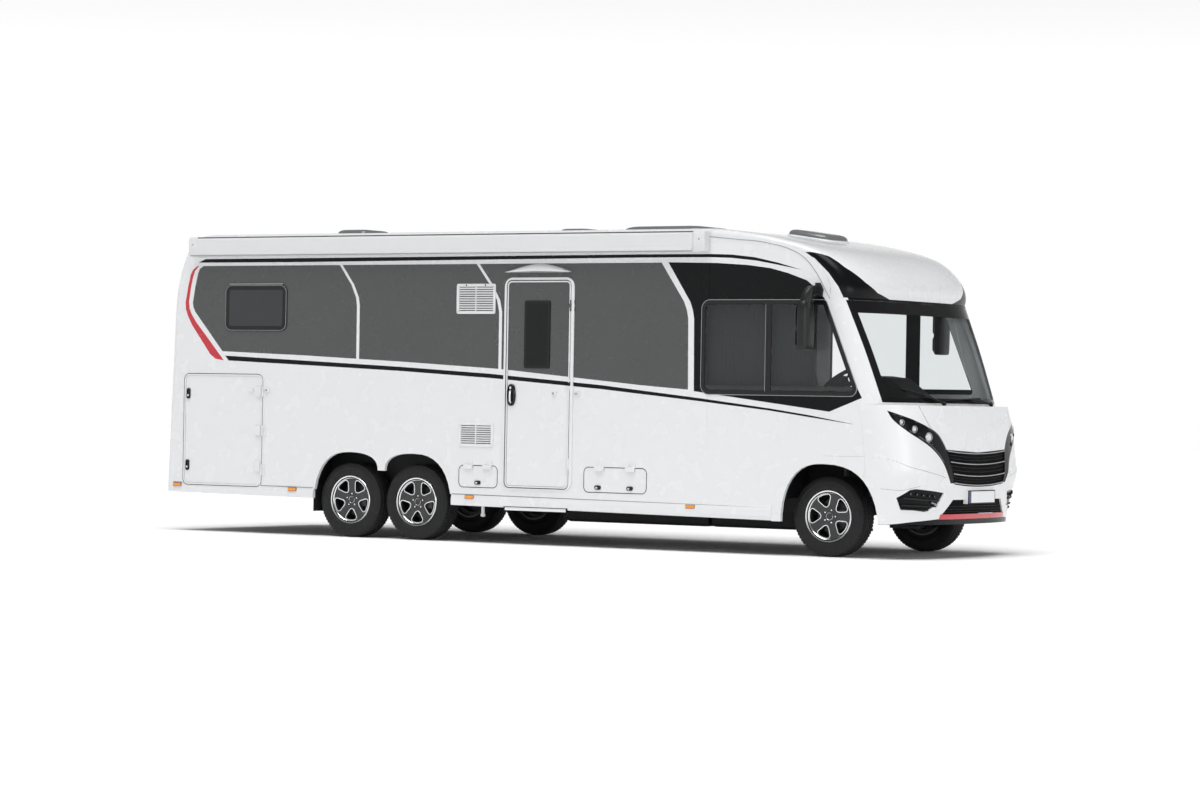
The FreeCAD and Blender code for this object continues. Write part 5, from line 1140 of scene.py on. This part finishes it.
def build_wipers():
    """Two wipers: pivot cap, bent arm, blade holder and rubber blade."""
    build = Build("wiper_arms")

    def spot(point, out):
        return on_surface(screen_x, *point, out)

    for pivot, elbow, blade_start, blade_end in WIPERS:
        build.lathe("black", [(0.022, -0.004), (0.022, 0.018), (0.015, 0.026), (0, 0.026)], spot(pivot, 0.0),
                    outward(screen_x, *pivot), 28)
        middle = straight(pivot, elbow, 2)[1]
        build.tube("black", [spot(pivot, 0.016), spot(middle, 0.03), spot(elbow, 0.026)],
                   (0.01, 0.0085, 0.006), 8)
        blade = straight(blade_start, blade_end, 12)
        build.tube("black", [spot(p, 0.017) for p in blade], 0.006, 8)
        build.tube("rubber", [spot(p, 0.0065) for p in blade], 0.0045, 6)
        for holder in (blade[3], blade[9]):
            build.tube("black", [spot(holder, 0.008), spot(holder, 0.022)], 0.006, 6)
    build.done(replaces=["wipers"])


MIRROR_HEAD = (3.048, 1.309)
MIRROR_HALF = (0.0555, 0.097)
MIRROR_RINGS = ((1.808, 0.6), (1.811, 0.82), (1.82, 0.93), (1.86, 0.97), (1.96, 1.0), (2.08, 1.0),
                (2.16, 0.97), (2.205, 0.88), (2.225, 0.7), (2.232, 0.4))
MIRROR_ARM = ((3.052, 1.312, 2.19, 0.046, 0.074), (3.055, 1.308, 2.25, 0.046, 0.062),
              (3.06, 1.3, 2.3, 0.042, 0.048), (3.07, 1.284, 2.338, 0.036, 0.038),
              (3.084, 1.256, 2.358, 0.03, 0.03), (3.1, 1.222, 2.362, 0.026, 0.026),
              (3.114, 1.19, 2.352, 0.024, 0.022), (3.12, 1.174, 2.345, 0.022, 0.02))
MIRROR_FOOT = ((3.062, 2.268), (3.14, 2.268), (3.15, 2.33), (3.118, 2.386), (3.07, 2.386))
MIRROR_STAY = ((3.1, 2.3, 0.0), (3.092, 2.285, 0.05), (3.072, 2.262, 0.1))
MIRROR_GLASSES = ((2.0, 2.18), (1.835, 1.975))
MIRROR_BACK = 2.9945


def build_mirrors():
    """Hanging mirror heads on horn-shaped arms, with two glasses each."""
    build = Build("door_mirrors")
    x, y = MIRROR_HEAD
    for side in (RIGHT, LEFT):
        place = wall(side)
        build.loops("horn_black", [oval_ring((x, side * y, z), [h * grow for h in MIRROR_HALF], 3.2)
                                   for z, grow in MIRROR_RINGS])
        build.loops("horn_black", [oval_ring((ax, side * ay, az), half, 2.3, 28)
                                   for ax, ay, az, *half in MIRROR_ARM])
        build.chamfered("black", [place(u, v, 0.0) for u, v in MIRROR_FOOT], (0, side * 0.016, 0), 0.003)
        build.tube("black", [place(*point) for point in MIRROR_STAY], 0.012, 10)
        for z0, z1 in MIRROR_GLASSES:
            back = [Vector((MIRROR_BACK, side * (y + u), z)) for u, z in rounded(-0.078, 0.078, z0, z1, 0.03)]
            build.chamfered("black", back, (-0.004, 0, 0), 0.002)
            pane = rounded(-0.072, 0.072, z0 + 0.006, z1 - 0.006, 0.026)
            build.flat("mirror", [Vector((MIRROR_BACK - 0.0045, side * (y + u), z)) for u, z in pane])
    build.done(replaces=["mirrors"])


build_grille()
build_lamp_units()
build_seams()
build_plate()
build_wipers()
build_mirrors()


# Awning, hatches and the lines of the roof
AWNING_MIDDLE = Vector((-HALF_WIDTH, 2.752))
AWNING_CAP = ((-0.006, 0.9), (0.0, 1.0), (0.062, 1.0), (0.07, 0.99))
AWNING_FEET = (-3.2, -1.6, 0.0, 1.5)


def build_awning():
    """Trims of the awning case: rail, lead bar, feet and end caps."""
    build = Build("awning_trims")
    (x0, y, _), (x1, _, _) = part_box("awning_case")
    skin = -HALF_WIDTH
    along = (x0 + 0.02, x1 - 0.12)
    for mat, ys, zs, bevel in (("trim_grey", (y + 0.012, skin + 0.01), (2.838, 2.8475), 0.002),
                               ("edge_grey", (y - 0.003, y + 0.006), (2.664, 2.672), 0.001),
                               ("awning", (y - 0.004, y + 0.004), (2.676, 2.706), 0.002)):
        build.box(mat, (along[0], ys[0], zs[0]), (along[1], ys[1], zs[1]), bevel)
    profile = ((y - 0.005, 2.7), (y + 0.006, 2.664), (skin - 0.002, 2.656), (skin - 0.002, 2.848),
               (y + 0.012, 2.85), (y - 0.005, 2.822))
    for end, way in ((x1, -1), (x0, 1)):
        rings = []
        for dx, grow in AWNING_CAP:
            points = [AWNING_MIDDLE + (Vector(p) - AWNING_MIDDLE) * grow for p in profile]
            rings.append([Vector((end + way * dx * 1.4, min(p.x, skin + 0.001), p.y)) for p in points])
        build.loops("awning", rings)
        build.lathe("edge_grey", [(0.008, 0), (0.008, 0.003), (0, 0.003)],
                    (end + way * 0.045, y - 0.004, 2.775), (0, RIGHT, 0), 16)
    for x in AWNING_FEET:
        build.box("awning", (x - 0.06, skin - 0.004, 2.845), (x + 0.06, skin + 0.07, 2.8535), 0.003)
    build.done()


ROOF_LIGHTS = ((-2.84, -2.44, 0.25, 0.092), (-0.265, 0.065, 0.2, 0.075), (0.5, 1.43, 0.34, 0.082))
CAB_LIGHT = (2.205, 2.685, 0.245)
CAB_ROOF = ((2.0, 2.875), (2.315, 2.846), (2.7, 2.79), (3.17, 2.677))
CAB_LIGHT_BASE = 2.845
CAB_LIGHT_FRAME = ((-0.04, 1.0), (0.006, 1.0), (0.014, 0.98), (0.016, 0.9))
DOME_EDGE = 0.012


def cab_roof(x):
    """Height of the cab roof over the base of its light."""
    for (a, za), (b, zb) in zip(CAB_ROOF, CAB_ROOF[1:]):
        if x <= b:
            return za + (zb - za) * (x - a) / (b - a) - CAB_LIGHT_BASE


def roof_light(build, x0, x1, half, frame_levels, base, rise, roundness, dome_roundness, roof=None):
    """Frame and crowned shell of a roof light that follow the line of the roof."""
    def rings(x0, x1, half, levels, roundness, count):
        out = []
        for z, grow in levels:
            ring = oval_ring(((x0 + x1) / 2, 0, z), ((x1 - x0) / 2 * grow, half * grow), roundness, count)
            for p in ring:
                p.z += roof(p.x) if roof else 0
            out.append(ring)
        return out

    build.loops("white_plastic", rings(x0, x1, half, frame_levels, roundness, 64), (False, False))
    crown = [(base + rise * math.sin(t), math.cos(t) ** 0.22) for t in steps(0, math.pi / 2, 9)[:-1]]
    crown.append((base + rise, 0.02))
    shell = rings(x0 + DOME_EDGE, x1 - DOME_EDGE, half - DOME_EDGE, crown, dome_roundness, 48)
    build.loops("smoke_dome", shell, (False, True))


def build_hatches():
    """Four roof lights: two small vents, a long skylight and a smooth one over the cab."""
    build = Build("roof_lights")
    for x0, x1, half, rise in ROOF_LIGHTS:
        levels = ((2.874, 1.0), (2.89, 1.0), (2.897, 0.985), (2.897, 0.93))
        roof_light(build, x0, x1, half, levels, 2.893, rise - 0.02, 9, 7)
        for share in (0.15, 0.85):
            x = x0 + share * (x1 - x0)
            build.box("white_plastic", (x - 0.025, -half - 0.002, 2.882), (x + 0.025, -half + 0.03, 2.904),
                      0.003)
    levels = [(CAB_LIGHT_BASE + lift, grow) for lift, grow in CAB_LIGHT_FRAME]
    roof_light(build, *CAB_LIGHT, levels, 2.858, 0.052, 4.2, 4.2, cab_roof)
    build.done(replaces=["roof_hatches"], angle=35)


CAP_JOINT = ((1.99, 2.8), (2.3, 2.771), (2.475, 2.756), (2.657, 2.7235), (2.808, 2.683), (2.959, 2.603),
             (3.09, 2.454), (3.18, 2.3), (3.212, 2.252))


def build_roof_lines():
    """Joint between each cab side and the roof cap."""
    build = Build("roof_joints")
    for side in (RIGHT, LEFT):
        build.tube("joint_grey_and_crease_shade", [wall(side)(x, z, 0.0012) for x, z in smoothed(CAP_JOINT, 3)], 0.0026, 6)
    build.done()


build_awning()
build_hatches()
build_roof_lines()

# Cab: seats, dashboard details, steering wheel dress and the window blind
SEAT_ROW = (-0.47, 0.47)
SEAT_X, SEAT_FILL = 2.268, 0.75
CUSHION_TOP = 1.0945
BACK_X, BACK_Z, BACK_DEEP, BACK_HIGH, BACK_LEAN = 2.035, 1.405, 0.0555, 0.345, 0.175
PINCH = 0.1
PEDESTAL = ((0.56, 0.585, 0.2, 0.2), (0.585, 0.88, 0.13, 0.14), (0.88, 0.925, 0.19, 0.19))


def pad_shape(build, mat, centre, half, powers, lean=0.0, waist=0.0, count=(30, 56)):
    """Crowned cushion: a rounded box whose sides pull in between its corners."""
    rings = []
    for eta in steps(-math.pi / 2, math.pi / 2, count[0])[1:-1]:
        wide, h = power(math.cos(eta), powers[0]), power(math.sin(eta), powers[0])
        ring = []
        for w in angles(count[1]):
            u, v = (wide * power(way, powers[1]) for way in (math.cos(w), math.sin(w)))
            u *= 1 - PINCH * (1 - v * v) * 0.5
            v *= 1 - PINCH * (1 - u * u) * 0.5 - waist * (1 - h * h) * 0.5
            crown = 1 + 0.1 * (1 - u * u) * (1 - v * v)
            ring.append(Vector((centre[0] + half[0] * u - lean * half[2] * h, centre[1] + half[1] * v,
                                centre[2] + half[2] * h * crown)))
        rings.append(ring)
    build.loops(mat, rings)
    return rings


def pad_seat(pads, y):
    """Cushion, back and headrest with bolsters, piping and sewn channels."""
    cushion = pad_shape(pads, "cloth", (SEAT_X, y, 1.03), (0.232, 0.225, 0.062), (0.42, 0.34))
    pads.tube("piping", cushion[16] + cushion[16][:2], 0.004, 6)
    for side in (RIGHT, LEFT):
        pad_shape(pads, "cloth_dark", (2.262, y + side * 0.205, 1.052), (0.205, 0.034, 0.04), (0.6, 0.5),
                  count=(16, 30))
    pad_shape(pads, "cloth", (BACK_X, y, BACK_Z), (0.056, 0.215, BACK_HIGH), (0.4, 0.36), BACK_LEAN, 0.1)
    for side in (RIGHT, LEFT):
        pad_shape(pads, "cloth_dark", (2.085, y + side * 0.19, 1.37), (0.04, 0.04, 0.29), (0.6, 0.6),
                  0.16, count=(20, 30))
    for share in (-0.42, 0.0, 0.42):
        x = BACK_X + BACK_DEEP - BACK_LEAN * BACK_HIGH * share * 1.9
        for reach, start, count in ((0.123, (x, BACK_Z + BACK_HIGH * share), 14),
                                    (0.16, (SEAT_X + 0.21 * share, CUSHION_TOP), 12)):
            channel = [(start[0], v, start[1]) for v in steps(y - reach, y + reach, count)]
            pads.tube("piping", channel, 0.0028, 6)
    pad_shape(pads, "cloth", (1.975, y, 1.868), (0.043, 0.12, 0.09), (0.5, 0.45), 0.05)


def frame_seat(frames, y):
    """Headrest posts, armrests, pedestal, tray, back shell and lever."""
    for side in (RIGHT, LEFT):
        frames.tube("chrome", [(1.975, y + side * 0.06, 1.73), (1.972, y + side * 0.06, 1.8)], 0.006, 10)
        arm_y = y + side * 0.262
        frames.box("black", (2.02, arm_y - 0.012, 1.205), (2.06, arm_y + 0.012, 1.245), 0.006)
        crest = straight((2.03, 0), (2.36, math.pi), 10)
        rest = [(x, arm_y, 1.24 + 0.012 * math.sin(turn)) for x, turn in crest]
        frames.tube("black", rest, [0.014] + [0.024] * 9 + [0.012], 12)
    for z0, z1, dx, dy in PEDESTAL:
        frames.box("black", (2.26 - dx, y - dy, z0), (2.26 + dx, y + dy, z1), 0.012)
    frames.box("black", (2.03, y - 0.215, 0.925), (2.49, y + 0.215, 0.972), 0.014)
    shell = []
    for x, z in straight((1.995, 1.02), (1.88, 1.72), 8):
        back = [Vector((x - 0.02 * (1 - s ** 4), y + 0.195 * s, z)) for s in steps(-1, 1, 10)]
        shell.append(back + [Vector((x + 0.004, p.y, z)) for p in reversed(back)])
    frames.loops("black", shell)
    frames.tube("black", [(2.16, y + 0.24, 0.96), (2.22, y + 0.262, 0.965), (2.3, y + 0.262, 0.985)], 0.011,
                10)


def build_seats():
    """Two captain seats."""
    pads, frames = Build("seat_pads"), Build("seat_frames")
    for y in SEAT_ROW:
        pad_seat(pads, y)
        frame_seat(frames, y)
    pads.done(replaces=["cab_seats"], angle=50)
    frames.done()


DIAL_X, DIAL_Z, DIAL_ROW = 2.78, 1.46, (0.3, 0.54)
DIAL_AXIS = (-1, 0, 0.25)
DIAL_MARK_RADIUS = 0.046
VENT_X, VENT_Z, VENT_ROW, VENT_RADIUS = 2.725, 1.2, (-0.8, -0.16, 0.12, 0.88), 0.038
DASH_RUN, DASH_RISE = 0.21, 0.18
DISPLAY = (-0.15, 0.09, 1.298, 1.425)
DISPLAY_X = 2.87


def build_dash_details():
    """Two instruments, four round air vents and a blank display on its foot."""
    build = Build("dash_details")
    for y in DIAL_ROW:
        centre = (DIAL_X, y, DIAL_Z)
        build.lathe("chrome", [(0.062, 0.0), (0.062, 0.01), (0.056, 0.012), (0.054, 0.004)], centre,
                    DIAL_AXIS, 36)
        build.lathe("screen_black", [(0.054, 0.004), (0, 0.004)], centre, DIAL_AXIS, 36)
        for a in steps(math.radians(220), math.radians(-40), 8):
            v, z = y - DIAL_MARK_RADIUS * math.cos(a), DIAL_Z + DIAL_MARK_RADIUS * math.sin(a)
            build.box("lens", (2.773, v - 0.0012, z - 0.004), (2.775, v + 0.0012, z + 0.004))
    slope = Vector((DASH_RUN, 0, DASH_RISE)).normalized()
    face_out = Vector((-DASH_RISE, 0, DASH_RUN)).normalized()
    for y in VENT_ROW:
        centre = Vector((VENT_X, y, VENT_Z))
        build.lathe("black", [(0.05, -0.004), (0.05, 0.008), (0.04, 0.01), (VENT_RADIUS, 0.001)], centre,
                    face_out, 32)
        for off in steps(-0.028, 0.028, 4):
            half = Vector((0, math.sqrt(VENT_RADIUS ** 2 - off ** 2), 0))
            middle = centre + slope * off + face_out * 0.005
            build.tube("edge_grey", [middle - half, middle + half], 0.0018, 6)

    def place(y, z, deep):
        return Vector((DISPLAY_X + deep, y, z))

    screen = rounded(*DISPLAY, 0.012)
    build.stud("black", screen, place, ((0.004, 0.018), (0, 0.014), (0, 0.0), (0.004, -0.004)))
    build.flat("screen_black", [place(y, z, -0.0045) for y, z in shrunk(screen, 0.01)])
    build.box("black", (2.866, -0.09, 1.286), (2.96, 0.03, 1.312), 0.01)
    build.done()


COLUMN_ANGLE = math.radians(50)
GRIP_RADIUS, GRIP_THICK, GRIP_WAVE = 0.205, 0.0172, 0.0012
HUB_LEVELS = ((-0.02, 0.9), (0.01, 1.0), (0.028, 0.94), (0.036, 0.8), (0.038, 0.4))
SPOKE_LEVELS = ((0.07, 0.03, 0.016), (0.12, 0.023, 0.013), (0.17, 0.017, 0.008), (0.196, 0.02, 0.004))


def build_wheel_dress():
    """Leather rim wrap, airbag pad and spoke covers of the steering wheel."""
    build = Build("wheel_dress")
    axis = Vector((-math.cos(COLUMN_ANGLE), 0, math.sin(COLUMN_ANGLE)))
    centre = box_middle("steering_wheel") + axis * 0.006
    across = Vector((0, 1, 0))
    up = across.cross(axis)
    rings = []
    for a in steps(0, 2 * math.pi, 64):
        out = across * math.cos(a) + up * math.sin(a)
        thick = GRIP_THICK + GRIP_WAVE * math.cos(4 * a)
        rings.append([centre + out * GRIP_RADIUS + (out * math.cos(b) + axis * math.sin(b)) * thick
                      for b in angles(12)])
    build.loops("leather", rings, (False, False))
    build.loops("black", [[centre + across * (0.098 * grow * power(math.cos(a), 0.7))
                           + up * (0.078 * grow * power(math.sin(a), 0.7)) + axis * lift for a in angles(36)]
                          for lift, grow in HUB_LEVELS])
    for way in (across, -across, -up):
        side = way.cross(axis)
        cover = []
        for reach, wide, lift in SPOKE_LEVELS:
            p = centre + way * reach
            cover.append([p + side * wide + axis * lift, p - side * wide + axis * lift,
                          p - side * wide * 0.8 - axis * 0.016, p + side * wide * 0.8 - axis * 0.016])
        build.loops("black", cover)
    build.done("steering_wheel")


BLIND_Y, BLIND_REAR, BLIND_FRONT, BLIND_FOOT, BLIND_TOP = -1.098, 1.945, 3.03, 1.425, 2.225
PLEATS, PLEAT_HALF, CLOTH_THICK = 27, 0.0012, 0.0006


def build_blind():
    """Pleated blind drawn over the rear part of the right cab window, on two rails."""
    folds = PLEATS * 2
    cloth = Build("window_blind")
    sheet = []
    for k, x in enumerate(steps(BLIND_REAR, BLIND_FRONT, folds)):
        y = BLIND_Y + PLEAT_HALF * (1 if k % 2 else -1)
        front = [Vector((x, y, z)) for z in steps(BLIND_FOOT, BLIND_TOP, 8)]
        sheet.append(front + [p + Vector((0, CLOTH_THICK, 0)) for p in reversed(front)])
    cloth.loops("blind_cloth", sheet)
    rails = Build("blind_rails")
    for front, z0, z1 in ((3.42, BLIND_FOOT - 0.026, BLIND_FOOT), (3.17, BLIND_TOP, BLIND_TOP + 0.026)):
        rails.box("black", (BLIND_REAR - 0.03, BLIND_Y - 0.015, z0), (front, BLIND_Y + 0.015, z1), 0.004)
    for x in (BLIND_REAR - 0.014, BLIND_FRONT):
        rails.box("black", (x, BLIND_Y - 0.012, BLIND_FOOT), (x + 0.014, BLIND_Y + 0.012, BLIND_TOP), 0.003)
    rails.done()
    cloth.done(angle=10)


build_seats()
build_dash_details()
build_wheel_dress()
build_blind()

# Vents, skirts, markers, step and the rear end
FRIDGE_VENT, LOWER_VENT = (-0.71, -0.278, 2.112, 2.39), (-0.665, -0.28, 0.888, 1.111)
VENT_FRAME = ((0, -0.001), (0, 0.007), (0.004, 0.01), (0.024, 0.01), (0.028, 0.004), (0.028, -0.001))
SLAT_TURN = Matrix.Rotation(math.radians(-32), 3, "X")


def build_vents():
    """Ventilation grilles of the fridge: a frame with sloping slats over a dark sheet of painted shade, the
    upper one with two screws.
    """
    build = Build("vent_grilles")
    place = wall(RIGHT)
    for (x0, x1, z0, z1), count, mat in ((FRIDGE_VENT, 10, "white_plastic"), (LOWER_VENT, 8, "white")):
        outer = rounded(x0, x1, z0, z1, 0.018)
        build.stud(mat, outer, place, VENT_FRAME, (False, False))
        # The dark sheet just off the wall is painted shade, standing in for the dark opening behind the
        # slats.
        build.flat("vent_painted_shade", [place(x, z, 0.0005) for x, z in shrunk(outer, 0.027)])
        pitch = (z1 - z0 - 0.062) / count
        for k in range(count):
            z = z0 + 0.031 + pitch * (k + 0.5)
            build.box(mat, place(x0 + 0.027, z - pitch * 0.36, 0.0085),
                      place(x1 - 0.027, z + pitch * 0.36, 0.0045), 0.001, (SLAT_TURN, place(x0, z, 0.0065)))
        middle = (x0 + x1) / 2
        build.slab(mat, place, (middle - 0.005, middle + 0.005), (z0 + 0.024, z1 - 0.024), (0.001, 0.01),
                   0.001)
    x0, x1, z0, z1 = FRIDGE_VENT
    for x in (x0 + 0.11, x1 - 0.11):
        build.lathe("black", [(0.008, 0.0), (0.008, 0.0115), (0.006, 0.0125), (0, 0.0125)],
                    place(x, z1 - 0.013, 0), (0, RIGHT, 0), 18)
    build.done(replaces=["wall_vents"])


SILLS = ((-4.03, -2.335), (-0.733, 2.655))
MARKERS = (-3.98, -2.578, -0.533, 1.842)
MARKER_DROP = 0.023
DRAIN = (-0.43, -1.1, 0.27)


def sill_line(x):
    """Height of the moulding line above the skirts, which falls a little to the front."""
    return 0.4395 - 0.0077 * x


def build_sill():
    """Moulding line above the skirts, side marker lamps and the drain valve."""
    build = Build("sill_trims")
    for side in (RIGHT, LEFT):
        for x0, x1 in SILLS:
            build.tube("joint_grey_and_crease_shade", [wall(side)(x, sill_line(x), 0.0005) for x in steps(x0, x1, 12)], 0.0035, 8)
    for side in (RIGHT, LEFT):
        for x in MARKERS:
            z = sill_line(x) - MARKER_DROP
            lamp = rounded(x - 0.046, x + 0.046, z - 0.014, z + 0.014, 0.007)
            build.stud("amber", lamp, wall(side), ((0, 0.004), (0, 0.013), (0.004, 0.017)))
            base = rounded(x - 0.05, x + 0.05, z - 0.018, z + 0.018, 0.008)
            build.stud("joint_grey_and_crease_shade", base, wall(side), ((0, 0.001), (0, 0.0095)))
    build.lathe("white_plastic", [(0.016, -0.1), (0.016, 0.0), (0.022, 0.004), (0.022, 0.024),
                                  (0.012, 0.03), (0, 0.03)], DRAIN, (0, 0, -1), 18)
    build.done()


STEP_RIBS, STEP_PITCH = 9, 0.022


def build_step():
    """Bright nosing and ribbed tread of the entrance step."""
    build = Build("step_tread")
    (x0, y, z0), (x1, _, z1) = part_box("entrance_step")
    build.box("alloy", (x0 + 0.004, y - 0.003, z0 + 0.002), (x1 - 0.004, y + 0.01, z1 + 0.002), 0.002)
    for x in (x0, x1 - 0.012):
        build.box("black", (x, y - 0.005, z0 - 0.001), (x + 0.012, y + 0.03, z1 + 0.003), 0.002)
    for k in range(1, STEP_RIBS + 1):
        v = y + STEP_PITCH * k
        build.box("rubber", (x0 + 0.03, v, z1 - 0.001), (x1 - 0.03, v + 0.01, z1 + 0.0022), 0.0006)
    build.done("entrance_step")


REAR_WALL = -4.127
REAR_LAMP_Y, REAR_LAMPS = 1.04, ((0.985, 1.112, "lamp_red"), (0.885, 0.975, "amber"), (0.795, 0.875, "lens"),
                                  (0.708, 0.785, "lamp_red"))
REFLECTOR_Y = 0.8


def build_rear():
    """Rear lamp lenses in a dark frame, and the reflectors of the rear bumper."""
    build = Build("rear_dress")
    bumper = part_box("rear_bumper")[0][0]

    def behind(x):
        return lambda y, z, out: Vector((x - out, y, z))

    for side in (RIGHT, LEFT):
        y = side * REAR_LAMP_Y
        for z0, z1, mat in REAR_LAMPS:
            build.stud(mat, rounded(y - 0.047, y + 0.047, z0, z1, 0.016), behind(REAR_WALL),
                       ((0, -0.002), (0, 0.006), (0.005, 0.011), (0.016, 0.013)))
        build.stud("black", rounded(y - 0.058, y + 0.058, 0.694, 1.126, 0.024), behind(REAR_WALL),
                   ((0, -0.004), (0, 0.003), (0.003, 0.005), (0.009, 0.004)))
        y = side * REFLECTOR_Y
        build.stud("lamp_red", rounded(y - 0.045, y + 0.045, 0.398, 0.424, 0.006), behind(bumper),
                   ((0, -0.002), (0, 0.003), (0.003, 0.005)))
    build.done()


build_vents()
build_sill()
build_step()
build_rear()


# Floor
FLOOR_HALF = 80


def lay_floor():
    mesh = bpy.data.meshes.new("floor")
    bm = bmesh.new()
    bmesh.ops.create_grid(bm, x_segments=1, y_segments=1, size=FLOOR_HALF)
    bm.to_mesh(mesh)
    bm.free()
    mesh.materials.append(M["stage"])
    linked("floor", mesh)


lay_floor()
